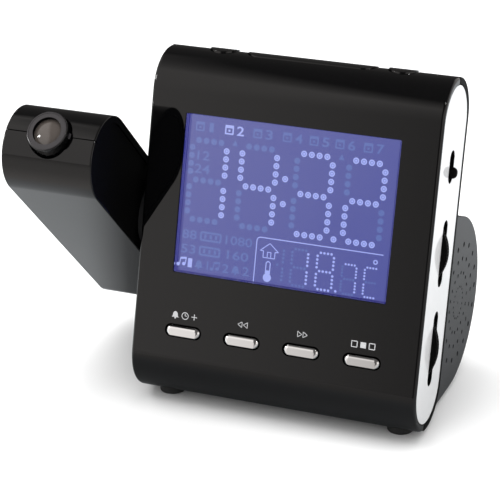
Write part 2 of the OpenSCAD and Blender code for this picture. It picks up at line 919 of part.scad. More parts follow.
module arm_inner_panel() {
  color(black_satin) on_arm() difference() {
    along_x(arm_in - 0.1 - panel_t, arm_in - 0.1) slab_2d(wall + panel_gap);
    translate([0, mid_t, pivot_z]) rod_x(hub_bore_r, arm_in - 5, arm_in + 1);
  }
}

module arm_screws() { color(steel) on_arm() at(arm_screw_places) cross_screw(); }

// Hollow shaft on the arm that turns in the case's left panel
module pivot_hub() {
  color(black_satin) on_pivot() difference() {
    union() {
      rod_x(hub_flange_r, arm_in - 0.1, -half_w - 0.15);
      rod_x(hub_r, -half_w - 0.15 - eps, hub_end);
    }
    rod_x(hub_bore_r, arm_in - 1, hub_end + 1);
  }
}

// Flat ring around the hub
module hub_ring(r, x0, x1) {
  color(steel) on_pivot() difference() {
    rod_x(r, x0, x1);
    rod_x(hub_r, x0 - 1, x1 + 1);
  }
}

module friction_washer() { hub_ring(retainer_r - 0.3, -panel_in + 0.15, -panel_in + 0.75); }
module hub_retainer() { hub_ring(retainer_r, -panel_in + 0.75, -panel_in + 2.2); }

// ---------- projector ----------

module projector_barrel() {
  color(black_satin) on_lens() difference() {
    rod_z(barrel_r, barrel_z, barrel_top);
    rod_z(barrel_bore_r, barrel_z - 1, lcd_z + lcd_t);
    rod_z(stop_r, barrel_z, barrel_top);
    rod_z(barrel_bore_r, lcd_z + lcd_t + stop_t, barrel_top + 1);
  }
}

module projector_board() {
  color(board_green) on_lens() translate([-8, -9, led_board_z]) cube([16, 18, board_t]);
}

module projector_led() {
  color(white_gloss) on_lens() translate([0, 0, barrel_z]) {
    translate([-2.5, -2.5, 0]) cube([5, 5, 1.6]);
    rod_z(2, 1.6 - eps, 2.8, $fn = fine);
  }
}

// Tubes that hold the condenser and the small display apart
module optics_spacers() {
  color(black_satin) on_lens() for (span = [[barrel_z, condenser_z], [condenser_z + 3.3, lcd_z]])
    difference() {
      rod_z(cell_r, span[0], span[1]);
      rod_z(cell_r - 1.2, span[0] - 1, span[1] + 1);
    }
}

module condenser_lens() {
  color([0.80, 0.84, 0.86, 0.4]) on_lens() intersection() {
    rod_z(cell_r, condenser_z, condenser_z + 6);
    translate([0, 0, condenser_z - 6]) sphere(condenser_sphere);
  }
}

module projector_lcd() {
  color([0.30, 0.32, 0.35]) on_lens() translate([-lcd_size / 2, -lcd_size / 2, lcd_z])
    cube([lcd_size, lcd_size, lcd_t]);
}

module lens_cell() {
  color(black_satin) on_lens() difference() {
    rod_z(cell_r, cell_z, cell_top);
    rod_z(cell_bore_r, cell_z - 1, cell_top + 1);
    rod_z(lens_r, lens_z, cell_top + 1);
  }
}

module front_lens() {
  color([0.75, 0.72, 0.70, 0.4]) on_lens() intersection() {
    rod_z(lens_r, lens_z, cell_top);
    translate([0, 0, cell_top - 0.3 - lens_sphere]) sphere(lens_sphere);
  }
}

// Ring that turns around the lens cell, with a small grip tab
module focus_ring() {
  color(grey_satin) on_lens() difference() {
    union() {
      rod_z(ring_r, ring_z, ring_top);
      translate([0, -1, ring_z + 2]) cube([ring_r + 0.6, 2, 6]);
    }
    rod_z(barrel_bore_r, ring_z - 1, ring_top + 1);
  }
}

// ---------- nodes ----------

front_shell();
rear_shell();
side_panel_right();
side_panel_left();
rear_housing();
speaker_grille();
rubber_feet();
case_screws();
housing_screws();
display_window();
display_glass();
light_guide();
display_frame();
display_connector();
display_board();
alarm_key();
back_key();
forward_key();
mode_key();
snooze_bar();
top_left_key();
top_right_key();
front_key_board();
top_key_board();
key_switches();
switch_knob();
slide_switch();
tuning_wheel();
volume_wheel();
tuning_capacitor();
volume_control();
main_board();
board_chips();
ferrite_rod();
antenna_coils();
dc_jack();
projector_wires();
speaker_frame();
speaker_magnet();
speaker_cone();
battery_tray();
battery_contacts();
battery_door();
arm_front_shell();
arm_rear_shell();
arm_outer_panel();
arm_inner_panel();
arm_screws();
pivot_hub();
friction_washer();
hub_retainer();
projector_barrel();
projector_board();
projector_led();
optics_spacers();
condenser_lens();
projector_lcd();
lens_cell();
front_lens();
focus_ring();
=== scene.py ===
import json
import math

import bpy
from mathutils import Euler, Matrix, Vector


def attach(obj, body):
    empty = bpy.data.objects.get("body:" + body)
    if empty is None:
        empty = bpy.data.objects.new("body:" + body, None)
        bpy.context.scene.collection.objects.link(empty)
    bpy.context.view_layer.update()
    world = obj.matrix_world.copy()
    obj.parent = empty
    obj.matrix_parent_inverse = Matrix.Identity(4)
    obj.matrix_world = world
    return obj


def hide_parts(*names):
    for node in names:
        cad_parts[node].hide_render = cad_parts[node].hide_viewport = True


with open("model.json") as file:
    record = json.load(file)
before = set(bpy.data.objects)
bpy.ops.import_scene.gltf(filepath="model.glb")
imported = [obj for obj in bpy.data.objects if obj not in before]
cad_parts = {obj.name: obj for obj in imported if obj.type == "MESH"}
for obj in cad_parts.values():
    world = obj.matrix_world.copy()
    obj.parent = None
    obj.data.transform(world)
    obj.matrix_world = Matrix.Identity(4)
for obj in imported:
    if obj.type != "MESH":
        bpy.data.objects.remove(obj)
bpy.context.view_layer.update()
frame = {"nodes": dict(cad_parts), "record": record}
scene = bpy.context.scene
scene.view_settings.view_transform = "Standard"


# ---------- camera ----------
# The clock is seen from the front, a little from the right and from above, with a long lens.
bpy.ops.object.camera_add(location=(0.2338, -0.5928, 0.3119))
camera = bpy.context.object
camera.rotation_euler = Vector((-0.3413, 0.8601, -0.3792)).to_track_quat("-Z", "Y").to_euler()
camera.data.lens = 147.5
camera.data.sensor_width = 36
camera.data.clip_start = 0.01
scene.camera = camera


# ---------- studio ----------
# A pale room with a white table top. Glossy plastic mirrors a darker one: a wide soft panel high
# at the front left and a wall on the right. The table's colour as glossy plastic mirrors it is
# painted reflection: dim in front of the clock as painted shade, paler to its left and behind it
# on the right, warm far in front and cool nearer.
def node(tree, kind, inputs=(), **settings):
    """Adds a shader node, sets its options, and fills its inputs with numbers or links."""
    made = tree.nodes.new(kind)
    for name, value in settings.items():
        setattr(made, name, value)
    for key, value in dict(inputs).items():
        if isinstance(value, bpy.types.NodeSocket):
            tree.links.new(value, made.inputs[key])
        else:
            made.inputs[key].default_value = value
    return made


def maths(tree, operation, *values):
    """Adds a Math node and gives its result."""
    return node(tree, "ShaderNodeMath", enumerate(values), operation=operation).outputs[0]


def ramp(tree, value, start, end, low, high, smooth=True):
    """Turns a value between start and end into one between low and high."""
    kind = "SMOOTHSTEP" if smooth else "LINEAR"
    made = node(tree, "ShaderNodeMapRange", {0: value, 1: start, 2: end, 3: low, 4: high},
                interpolation_type=kind)
    return made.outputs[0]


def pick_one(tree, switch, off, on):
    """Gives on where the switch is 1, and off where it is 0."""
    return node(tree, "ShaderNodeMix", {0: switch, 2: off, 3: on}).outputs[0]


world = bpy.data.worlds.new("pale_room")
world.use_nodes = True
scene.world = world
room = world.node_tree
aim = node(room, "ShaderNodeSeparateXYZ",
           {0: node(room, "ShaderNodeTexCoord").outputs["Generated"]})
ahead = maths(room, "MULTIPLY", aim.outputs[1], -1.0)
azimuth = maths(room, "ARCTAN2", aim.outputs[0], ahead)
height = maths(room, "ARCSINE", aim.outputs[2])
rise = maths(room, "MAXIMUM", aim.outputs[2], 0.02)
leftwards = maths(room, "MULTIPLY_ADD", aim.outputs[1], -0.15,
                  maths(room, "MULTIPLY", aim.outputs[0], -1.0))
panel_edge = ramp(room, maths(room, "DIVIDE", leftwards, rise), 0.36, 0.54, 0.0, 1.0, False)
panel_rear = ramp(room, maths(room, "DIVIDE", aim.outputs[1], rise), 0.30, 0.60, 1.0, 0.0)
panel_side = ramp(room, azimuth, math.radians(-26), math.radians(-6), 1.0, 0.0)
panel = maths(room, "MULTIPLY", maths(room, "MULTIPLY", panel_edge, panel_rear), panel_side)
right_side = maths(room, "MULTIPLY",
                   ramp(room, azimuth, math.radians(28), math.radians(45), 0.0, 0.8),
                   ramp(room, azimuth, math.radians(179), math.radians(172), 0.0, 1.0))
right_wall = maths(room, "MULTIPLY", right_side,
                   ramp(room, height, math.radians(45), math.radians(20), 0.0, 1.0))
in_gloss = maths(room, "ADD", maths(room, "MULTIPLY_ADD", panel, 0.79, 0.09), right_wall)
path = node(room, "ShaderNodeLightPath")
overhead = ramp(room, aim.outputs[2], 0.0, 0.8, 0.95, 1.35)
lit_room = pick_one(room, path.outputs["Is Glossy Ray"], overhead, in_gloss)
seen_room = pick_one(room, path.outputs["Is Camera Ray"], lit_room, 1.0)
room.links.new(seen_room, room.nodes["Background"].inputs["Strength"])
warm = node(room, "ShaderNodeMix", {0: path.outputs["Is Glossy Ray"], 6: (1, 1, 1, 1),
                                    7: (1.0, 0.955, 0.925, 1)}, data_type="RGBA")
room.links.new(warm.outputs[2], room.nodes["Background"].inputs["Color"])

bpy.ops.mesh.primitive_plane_add(size=6)
table = bpy.context.object
table.name = "table_top"
table_paint = bpy.data.materials.new("table_paint")
table_paint.use_nodes = True
top = table_paint.node_tree
paint = top.nodes["Principled BSDF"]
paint.inputs["Roughness"].default_value = 0.6
spot = node(top, "ShaderNodeSeparateXYZ", {0: node(top, "ShaderNodeTexCoord").outputs["Object"]})
# Painted reflection: the table's colour for glossy rays alone, set by place, dim in front as
# painted shade and paler to the left and behind on the right.
to_left = maths(top, "MULTIPLY", ramp(top, spot.outputs[0], -0.05, -0.085, 0.0, 0.50),
                ramp(top, spot.outputs[1], 0.13, 0.06, 0.0, 1.0))
left_ahead = maths(top, "MULTIPLY", to_left, ramp(top, spot.outputs[1], -0.20, -0.08, 0.8, 1.0))
to_front = ramp(top, spot.outputs[1], -0.03, -0.10, 0.20, 0.29)
to_back = ramp(top, spot.outputs[1], 0.08, 0.20, 0.30, 0.55)
to_right = maths(top, "MULTIPLY", ramp(top, spot.outputs[0], 0.055, 0.085, 0.0, 1.0), to_back)
painted_reflection = maths(top, "MAXIMUM", maths(top, "MAXIMUM", left_ahead, to_right), to_front)
ray = node(top, "ShaderNodeLightPath")
warmth = node(top, "ShaderNodeMix", {0: ramp(top, spot.outputs[1], -0.10, -0.05, 0.0, 1.0),
                                     6: (1.0, 0.95, 0.91, 1), 7: (0.96, 1.0, 1.03, 1)},
              data_type="RGBA")
toned = node(top, "ShaderNodeVectorMath", {0: warmth.outputs[2], 3: painted_reflection}, operation="SCALE")
# Every ray but a glossy one sees plain white; glossy rays see the painted reflection.
shade = node(top, "ShaderNodeMix", {0: ray.outputs["Is Glossy Ray"], 6: (0.9, 0.9, 0.9, 1),
                                    7: toned.outputs[0]},
             data_type="RGBA")
top.links.new(shade.outputs[2], paint.inputs["Base Color"])
table.data.materials.append(table_paint)


def lamp(name, place, size, energy, **seen):
    """A round soft lamp that faces the object."""
    bpy.ops.object.light_add(type="AREA", location=place)
    made = bpy.context.object
    made.name = name
    made.data.shape = "DISK"
    made.data.size = size
    made.data.energy = energy
    made.rotation_euler = (Vector((0, 0, 0.05)) - Vector(place)).to_track_quat("-Z", "Y").to_euler()
    for key, value in seen.items():
        setattr(made, key, value)


lamp("soft_overhead", (-0.42, -0.06, 1.25), 1.5, 15, visible_glossy=False)
lamp("small_left", (-0.84, -0.38, 0.48), 0.13, 2.7, visible_diffuse=False)
lamp("small_ahead", (-0.76, -0.43, 0.60), 0.08, 0.8, visible_diffuse=False)
lamp("small_right", (0.60, -0.26, 0.75), 0.05, 0.6, visible_diffuse=False)


# ---------- front and rear case mouldings ----------
# Two injection-moulded halves in polished black plastic, joined by screws from the back. The
# seam runs round the sides and through the top keys. Both ends are open for the end panels.
case_w = 100
case_h = 116.5
case_t = 28.6
mid_t = case_t / 2
mid_z = case_h / 2
wall = 2.5
seam = 0.24
panel_y = 14.5
panel_half = 12.9
panel_margin = 2.62
lean = math.radians(13.9)
window_w = 74.2
window_x = -0.15
window_h = 53.1
window_z = 69.1
key_xs = (-31.8, -10.9, 10.0, 30.9)
key_z = 22.9
key_w = 12.3
key_h = 3.8
key_gap = 0.38
top_key_d = 9.6
snooze_w = 44.6
top_key_x = 31
arm_swing = math.radians(60.4)

# Millimetres on the upright datum, on the leaning case and on the swung arm, to metres. The
# datum is the lower front edge of the case's box, about which the case leans. Its round bottom
# then hangs below the datum by round_drop, and the feet reach down from there to the table.
round_drop = 3.85402
lift = 6.004015
upright = Matrix.Translation((0.016, -0.02981018, lift / 1000)) @ Matrix.Scale(0.001, 4)
on_case = upright @ Matrix.Rotation(-lean, 4, "X")
on_arm = (on_case @ Matrix.Translation((0, mid_t, mid_z))
          @ Matrix.Rotation(arm_swing, 4, "X") @ Matrix.Translation((0, -mid_t, -mid_z)))


def pick(test, kind="VERT"):
    """Goes into edit mode on the piece in hand and selects what passes a test of place."""
    piece = bpy.context.object
    bpy.ops.object.mode_set(mode="EDIT")
    bpy.ops.mesh.select_mode(type=kind)
    bpy.ops.mesh.select_all(action="DESELECT")
    bpy.ops.object.mode_set(mode="OBJECT")
    mesh = piece.data
    if kind == "VERT":
        for corner in mesh.vertices:
            corner.select = bool(test(corner.co))
    elif kind == "EDGE":
        for edge in mesh.edges:
            a, b = (mesh.vertices[i].co for i in edge.vertices)
            edge.select = bool(test(a, b))
    else:
        for face in mesh.polygons:
            face.select = bool(test(face.center, face.normal))
    bpy.ops.object.mode_set(mode="EDIT")


def done():
    """Leaves edit mode and gives the piece in hand."""
    bpy.ops.object.mode_set(mode="OBJECT")
    return bpy.context.object


def rounded(test, width, steps):
    """Rounds the edges of the piece in hand that pass a test of their two ends."""
    pick(test, "EDGE")
    bpy.ops.mesh.bevel(offset=width, segments=steps, profile=0.5)
    return done()


def let_go():
    """Leaves no piece in hand."""
    bpy.ops.object.select_all(action="DESELECT")


def settled():
    """Applies the place, turn and scale of the piece in hand, and gives it."""
    bpy.ops.object.transform_apply(location=True, rotation=True, scale=True)
    return bpy.context.object


def block(at, size):
    """A plain box around a point."""
    let_go()
    bpy.ops.mesh.primitive_cube_add(size=1, location=at, scale=size)
    return settled()


def take(piece):
    """Makes a piece the only one in hand."""
    let_go()
    piece.select_set(True)
    bpy.context.view_layer.objects.active = piece
    return piece


def bar(along, start, end, at, size, radius, sides=96, ends=True):
    """A bar along x, y or z whose outline has round corners, around a point of the other two."""
    own = "xyz".index(along)
    across = [k for k in range(3) if k != own]
    middle = [0.0, 0.0, 0.0]
    middle[own] = (start + end) / 2
    middle[across[0]], middle[across[1]] = at
    let_go()
    bpy.ops.mesh.primitive_cylinder_add(vertices=sides, radius=radius, depth=end - start,
                                        end_fill_type="NGON" if ends else "NOTHING",
                                        location=middle)
    piece = bpy.context.object
    tip = Euler([(0, math.pi / 2, 0), (math.pi / 2, 0, 0), (0, 0, 0)][own]).to_matrix()
    piece.rotation_euler = (tip @ Matrix.Rotation(math.pi / sides, 3, "Z")).to_euler()
    settled()
    for k, reach in zip(across, size):
        if reach - 2 * radius > 1e-6:
            for side in (-1, 1):
                pick(lambda p: (p[k] - middle[k]) * side > 0)
                step = [0.0, 0.0, 0.0]
                step[k] = side * (reach / 2 - radius)
                bpy.ops.transform.translate(value=step)
                done()
    return piece


def rod(along, start, end, at, radius, sides=32):
    """A round bar along x, y or z."""
    return bar(along, start, end, at, (0, 0), radius, sides)


def slab(x0, x1, inset=0.0, sides=96, ends=True):
    """A bar across the case with the case's own side outline, drawn in by inset."""
    return bar("x", x0, x1, (mid_t, mid_z), (case_t - 2 * inset, case_h - 2 * inset),
               mid_t - inset, sides, ends)


def copied(piece, step=(0, 0, 0)):
    """A copy with a mesh of its own, moved by a step."""
    twin = piece.copy()
    twin.data = piece.data.copy()
    twin.data.transform(Matrix.Translation(step))
    scene.collection.objects.link(twin)
    return twin


def joined(pieces):
    """Makes one piece of several."""
    let_go()
    for piece in pieces:
        piece.select_set(True)
    bpy.context.view_layer.objects.active = pieces[0]
    if len(pieces) > 1:
        bpy.ops.object.join()
    return bpy.context.object


def worked(piece, kind, **settings):
    """Adds a modifier to a piece and applies it."""
    take(piece)
    step = piece.modifiers.new(kind.lower(), kind)
    for name, value in settings.items():
        setattr(step, name, value)
    bpy.ops.object.modifier_apply(modifier=step.name)
    return piece


def cut(piece, *tools, how="DIFFERENCE"):
    """Cuts tools out of a piece, or joins them to it with how="UNION"."""
    for tool in tools:
        worked(piece, "BOOLEAN", operation=how, object=tool, solver="EXACT")
        bpy.data.objects.remove(tool)
    return piece


def softened(piece, width, angle=40, steps=2):
    """Rounds a piece's sharp edges, and shades it smooth up to that angle."""
    take(piece)
    if width:
        worked(piece, "BEVEL", width=width, segments=steps, limit_method="ANGLE",
               angle_limit=math.radians(angle), use_clamp_overlap=True)
    bpy.ops.object.shade_smooth_by_angle(angle=math.radians(angle))
    worked(piece, "WEIGHTED_NORMAL", keep_sharp=True, weight=60)
    return piece


def fixed(piece, name, place, body, slot, finish, *nodes):
    """Puts a finished piece in place, with its finish, its body and the nodes it stands for."""
    piece.name = piece.data.name = name
    piece.data.transform(place)
    if finish:
        piece.data.materials.clear()
        piece.data.materials.append(finish)
    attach(piece, body)
    if nodes:
        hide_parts(*nodes)
    return piece


def surface(name, colour, rough, spread=0.03, grain=2.0, depth=0.002, tint=0.06, **more):
    """A material with slow mottling in its colour and gloss, and a fine grain."""
    made = bpy.data.materials.new(name)
    made.use_nodes = True
    tree = made.node_tree
    shader = tree.nodes["Principled BSDF"]
    place = node(tree, "ShaderNodeTexCoord").outputs["Object"]
    flow = node(tree, "ShaderNodeTexNoise", {"Vector": place, "Scale": 45.0, "Detail": 3.0})
    mould = node(tree, "ShaderNodeTexNoise",
                 {"Vector": place, "Scale": 1000.0 / grain, "Detail": 4.0})
    low = [c * (1 - tint) for c in colour] + [1]
    high = [min(1, c * (1 + tint)) for c in colour] + [1]
    shade = node(tree, "ShaderNodeMix", {0: flow.outputs[0], 6: low, 7: high}, data_type="RGBA")
    tree.links.new(shade.outputs[2], shader.inputs["Base Color"])
    gloss = ramp(tree, mould.outputs[0], 0.25, 0.75, max(0, rough - spread), rough + spread)
    tree.links.new(gloss, shader.inputs["Roughness"])
    bump = node(tree, "ShaderNodeBump", {"Strength": 0.6, "Distance": depth / 1000,
                                         "Height": mould.outputs[0]})
    tree.links.new(bump.outputs[0], shader.inputs["Normal"])
    for key, value in more.items():
        shader.inputs[key.replace("_", " ")].default_value = value
    return made


polished_black = surface("polished_black", (0.0012, 0.0012, 0.0014), 0.028, 0.014, 6.0, 0.001)
dull_black = surface("dull_black", (0.002, 0.002, 0.002), 0.5, 0.05, 0.4, 0.006, 0.1,
                     Specular_IOR_Level=0.04)


def two_tone(piece, finish, other, test):
    """Gives a piece one finish, and another one to the faces that pass a test."""
    piece.data.materials.clear()
    piece.data.materials.append(finish)
    piece.data.materials.append(other)
    for face in piece.data.polygons:
        face.material_index = int(test(face))


def dull_end(piece, x):
    """Polished black all over but for the flat end at x, which is left as moulded."""
    two_tone(piece, polished_black, dull_black,
             lambda face: abs(face.normal.x) > 0.9 and abs(face.center.x - x) < 0.3)


def off_axis(p):
    """How far a point lies from the middle line of the case's side outline."""
    return math.hypot(p.y - mid_t, p.z - min(max(p.z, mid_t), case_h - mid_t))


def half_shell(x0, x1, front, gap, lip):
    """One half of a slab-shaped shell, open at both ends and along the seam, with round lips."""
    slab(x0, x1, ends=False)
    pick(lambda p: True)
    side = -1 if front else 1
    bpy.ops.mesh.bisect(plane_co=(0, mid_t + side * gap / 2, 0), plane_no=(0, -side, 0),
                        clear_outer=True)
    piece = done()
    worked(piece, "SOLIDIFY", thickness=wall, offset=-1, use_even_offset=True)
    return rounded(lambda a, b: min(off_axis(a), off_axis(b)) > mid_t - 0.1
                   and abs(a.x - b.x) < 0.01
                   and min(abs(a.x - x0), abs(a.x - x1)) < 0.01, lip, 5)


def panel_shape(x0, x1, grow=0.0):
    """The outline of an end panel, a little behind the middle of the case."""
    half = panel_half + grow
    return bar("x", x0, x1, (panel_y, mid_z), (2 * half, case_h - 2 * panel_margin + 2 * grow),
               half)


def end_rebates():
    """Tools for the seats of the end panels at both ends."""
    tools = []
    for side in (-1, 1):
        x0, x1 = sorted((side * (case_w / 2 - 2.4), side * (case_w / 2 + 1)))
        tools.append(panel_shape(x0, x1, 0.3))
    return joined(tools)


def seam_notches():
    """Tools for the small notches where the seam meets both ends, above and below."""
    return joined([bar("z", z - 3.5, z + 3.5, (side * case_w / 2, mid_t), (1.0, 0.9), 0.1, 16)
                   for side in (-1, 1) for z in (0, case_h)])


def top_key_openings():
    """Tools for the openings of the three top keys."""
    d = top_key_d + 2 * key_gap
    tools = [bar("z", case_h - 8, case_h + 8, (0, mid_t), (snooze_w + 2 * key_gap, d), d / 2, 48)]
    tools += [rod("z", case_h - 8, case_h + 8, (x, mid_t), d / 2, 48)
              for x in (-top_key_x, top_key_x)]
    return joined(tools)


front_case = half_shell(-case_w / 2, case_w / 2, True, seam, 1.1)
openings = [bar("y", -2, wall + 2, (window_x, window_z), (window_w, window_h), 0.6, 32)]
openings += [bar("y", -2, wall + 2, (x, key_z), (key_w + 2 * key_gap, key_h + 2 * key_gap),
                 key_h / 2 + key_gap, 32) for x in key_xs]
cut(front_case, joined(openings), top_key_openings(), end_rebates(), seam_notches())
softened(front_case, 0.15)
fixed(front_case, "front_case", on_case, "case", "gloss_black", polished_black, "front_shell")

screw_x = 44.5
case_screw_places = [(x, z) for x in (-screw_x, screw_x) for z in (7.5, 104)]
screw_seat = 21.5
jack_x = -34
jack_z = 86


def screw_bosses(places):
    """Posts that take screws from the back."""
    return joined([rod("y", mid_t + 1, case_t - 0.5, place, 4) for place in places])


def screw_bores(places):
    """Tools for the heads and for the shanks of screws from the back."""
    heads = joined([rod("y", screw_seat, case_t + 1, place, 2.9) for place in places])
    shanks = joined([rod("y", mid_t - 1, screw_seat + 1, place, 1.35, 24) for place in places])
    return heads, shanks


# The rear half bulges a little more than the front one
fuller = (Matrix.Translation((0, mid_t, 0)) @ Matrix.Diagonal((1, 1.06, 1, 1))
          @ Matrix.Translation((0, -mid_t, 0)))
rear_case = half_shell(-case_w / 2, case_w / 2, False, seam, 0.3)
rear_case.data.transform(fuller)
cut(rear_case, screw_bosses(case_screw_places), how="UNION")
cut(rear_case, *screw_bores(case_screw_places), top_key_openings(),
    rod("y", case_t - 4, case_t + 1, (jack_x, jack_z), 4.2, 48),
    bar("y", case_t - 4, case_t + 1, (0, 42), (60, 26), 3, 32), end_rebates(), seam_notches())
softened(rear_case, 0.15)
dull_end(rear_case, case_w / 2)
fixed(rear_case, "rear_case", on_case, "case", "gloss_black", None, "rear_shell")


# ---------- end panels ----------
# Flat inserts pressed into the open ends of the case. The right one is a black moulding under a
# glossy white facing, with three slots; the left one is plain and bears the arm's hub.
panel_out = case_w / 2 - 0.1
panel_in = panel_out - 2.2
panel_inset = wall + 0.12
slots = ((82, 92.9, 14.9, 5.6), (48.1, 70.1, 15.4, 5.4), (15, 40, 15.6, 5.4))
gloss_white = surface("gloss_white", (0.90, 0.905, 0.915), 0.04, 0.02, 3.0, 0.001, 0.02,
                      Coat_Weight=1.0, Coat_Roughness=0.02, Coat_IOR=1.45)
satin_black = surface("satin_black", (0.012, 0.012, 0.013), 0.38, 0.06, 0.35, 0.012, 0.12)
film_t = 0.15
hub_r = 7
hub_gap = 0.08
wire_bore = 3.2


def slotted(x0, x1):
    """An end panel's outline with the slots of the switch and the wheels."""
    return cut(panel_shape(x0, x1),
               joined([bar("x", x0 - 1, x1 + 1, (y, (a + b) / 2), (w, b - a), w / 2, 32)
                       for a, b, y, w in slots]))


carrier = softened(slotted(panel_in, panel_out - film_t), 0)
fixed(carrier, "right_panel_carrier", on_case, "case", "satin_black", dull_black)
right_panel = softened(slotted(panel_out - film_t, panel_out), 0.05)
fixed(right_panel, "right_end_panel", on_case, "case", "gloss_white", gloss_white,
      "side_panel_right")
left_panel = panel_shape(-panel_out, -panel_in)
cut(left_panel, rod("x", -panel_out - 1, -panel_in + 1, (mid_t, mid_z), hub_r + hub_gap, 64))
softened(left_panel, 0.15)
fixed(left_panel, "left_end_panel", on_case, "case", "satin_black", satin_black,
      "side_panel_left")


# ---------- window pane ----------
# A clear acrylic pane set into the front, flush to within 0.2 mm, its front edge chamfered.
def clear(name, colour, rough, ior):
    """Clear moulded plastic or glass, with faint smears in its gloss."""
    return surface(name, colour, rough, 0.012, 9.0, 0.001, 0.02, Transmission_Weight=1, IOR=ior)


pane = bar("y", 0.2, 2.38, (window_x, window_z), (window_w - 0.3, window_h - 0.3), 0.45, 32)
rounded(lambda a, b: max(a.y, b.y) < 0.3, 0.12, 1)
bpy.ops.object.shade_smooth_by_angle(angle=math.radians(20))
clear_pane = clear("clear_pane", (0.98, 0.98, 1.0), 0.02, 1.49)
fixed(pane, "window_pane", on_case, "case", "window", clear_pane, "display_window")


# ---------- display face ----------
# The lit blue field of the liquid crystal, with its cells as dots and small signs: those that
# are on are pale, and those that are off show faintly.
refracted = (-0.57, -0.27)


def lit(name, upper_left, lower_right):
    """A lit layer whose colour changes slowly across the display."""
    made = bpy.data.materials.new(name)
    made.use_nodes = True
    tree = made.node_tree
    shader = tree.nodes["Principled BSDF"]
    place = node(tree, "ShaderNodeTexCoord").outputs["Object"]
    axes = node(tree, "ShaderNodeSeparateXYZ", {0: place})
    across = ramp(tree, axes.outputs[0], -0.02, 0.052, 0.0, 0.5, smooth=False)
    down = ramp(tree, axes.outputs[2], 0.098, 0.046, 0.0, 0.5, smooth=False)
    cloud = node(tree, "ShaderNodeTexNoise", {"Vector": place, "Scale": 60.0, "Detail": 2.0})
    drift = ramp(tree, cloud.outputs[0], 0.3, 0.7, -0.06, 0.06, smooth=False)
    blend = maths(tree, "ADD", maths(tree, "ADD", across, down), drift)
    colour = node(tree, "ShaderNodeMix", {0: blend, 6: upper_left, 7: lower_right},
                  data_type="RGBA")
    shader.inputs["Base Color"].default_value = (0.0, 0.0, 0.01, 1)
    shader.inputs["Roughness"].default_value = 0.5
    shader.inputs["Specular IOR Level"].default_value = 0
    tree.links.new(colour.outputs[2], shader.inputs["Emission Color"])
    shader.inputs["Emission Strength"].default_value = 1
    return made


def circle(middle, radius, sides=16):
    """The points of a circle, clockwise."""
    return [(middle[0] + radius * math.cos(2 * math.pi * i / sides),
             middle[1] - radius * math.sin(2 * math.pi * i / sides)) for i in range(sides)]


def stroke(a, b, width):
    """A straight line of some width between two points."""
    run = Vector(b) - Vector(a)
    side = Vector((-run.y, run.x)).normalized() * width / 2
    return [tuple(Vector(a) + side), tuple(Vector(b) + side), tuple(Vector(b) - side),
            tuple(Vector(a) - side)]


def line(points, width):
    """A line through some points."""
    return [stroke(a, b, width) for a, b in zip(points, points[1:])]


def outlined(points, width):
    """A closed line through some points."""
    return line(points + points[:1], width)


def rectangle(x0, x1, z0, z1):
    """The four corners of an upright rectangle."""
    return [(x0, z0), (x1, z0), (x1, z1), (x0, z1)]


def drawn(shapes, y, step=refracted):
    """Makes one piece of many flat shapes that face forwards, each with its own outline."""
    points, faces = [], []
    for outline in shapes:
        area = sum(p[0] * q[1] - q[0] * p[1] for p, q in zip(outline, outline[1:] + outline[:1]))
        order = outline if area > 0 else outline[::-1]
        faces.append(list(range(len(points), len(points) + len(order))))
        points += [(x + step[0], y, z + step[1]) for x, z in order]
    mesh = bpy.data.meshes.new("drawn")
    mesh.from_pydata(points, [], faces)
    piece = bpy.data.objects.new("drawn", mesh)
    scene.collection.objects.link(piece)
    return take(piece)


def letters(text, middle, height, width=None, bold=0.05):
    """Generic figures, as flat shapes around a point."""
    let_go()
    bpy.ops.object.text_add()
    words = bpy.context.object
    words.data.body = text
    words.data.size = height / 0.7
    words.data.offset = bold
    words.data.resolution_u = 3
    bpy.ops.object.convert(target="MESH")
    words = bpy.context.object
    xs = [v.co.x for v in words.data.vertices]
    ys = [v.co.y for v in words.data.vertices]
    squeeze = (width / (max(xs) - min(xs))) if width else 1.0
    centre = Vector(((max(xs) + min(xs)) / 2, (max(ys) + min(ys)) / 2))
    flat = [((v.co.x - centre.x) * squeeze + middle[0], v.co.y - centre.y + middle[1])
            for v in words.data.vertices]
    shapes = [[flat[i] for i in face.vertices] for face in words.data.polygons]
    bpy.data.objects.remove(words)
    return shapes


dot_r = 1.05
digit_columns = ((-34.07, -21.93), (-16.4, -4.28), (2.7, 14.83), (20.42, 32.6))
upper_dots = (84.8, 82.15, 79.45, 76.77)
lower_dots = (71.67, 68.99, 66.3, 63.6)
bar_heights = (87.32, 74.2, 61.03)
# The seven bars of a digit: top, upper left, upper right, middle, lower left, lower right, bottom
figures = {"0": "1110111", "1": "0010010", "2": "1011101", "3": "1011011", "4": "0111010",
           "5": "1101011", "6": "1101111", "7": "1010010", "8": "1111111", "9": "1111011",
           "C": "1100101", " ": "0000000"}


def digit(on, off, figure, left, right, upper, lower, bars, first, pitch):
    """Adds the dots of one digit to those that are on and those that are off."""
    across = [left + first + pitch * i for i in range(4)]
    cells = [[(x, bars[0]) for x in across], [(left, z) for z in upper],
             [(right, z) for z in upper], [(x, bars[1]) for x in across],
             [(left, z) for z in lower], [(right, z) for z in lower],
             [(x, bars[2]) for x in across]]
    for cell, state in zip(cells, figures[figure]):
        (on if state == "1" else off).extend(cell)


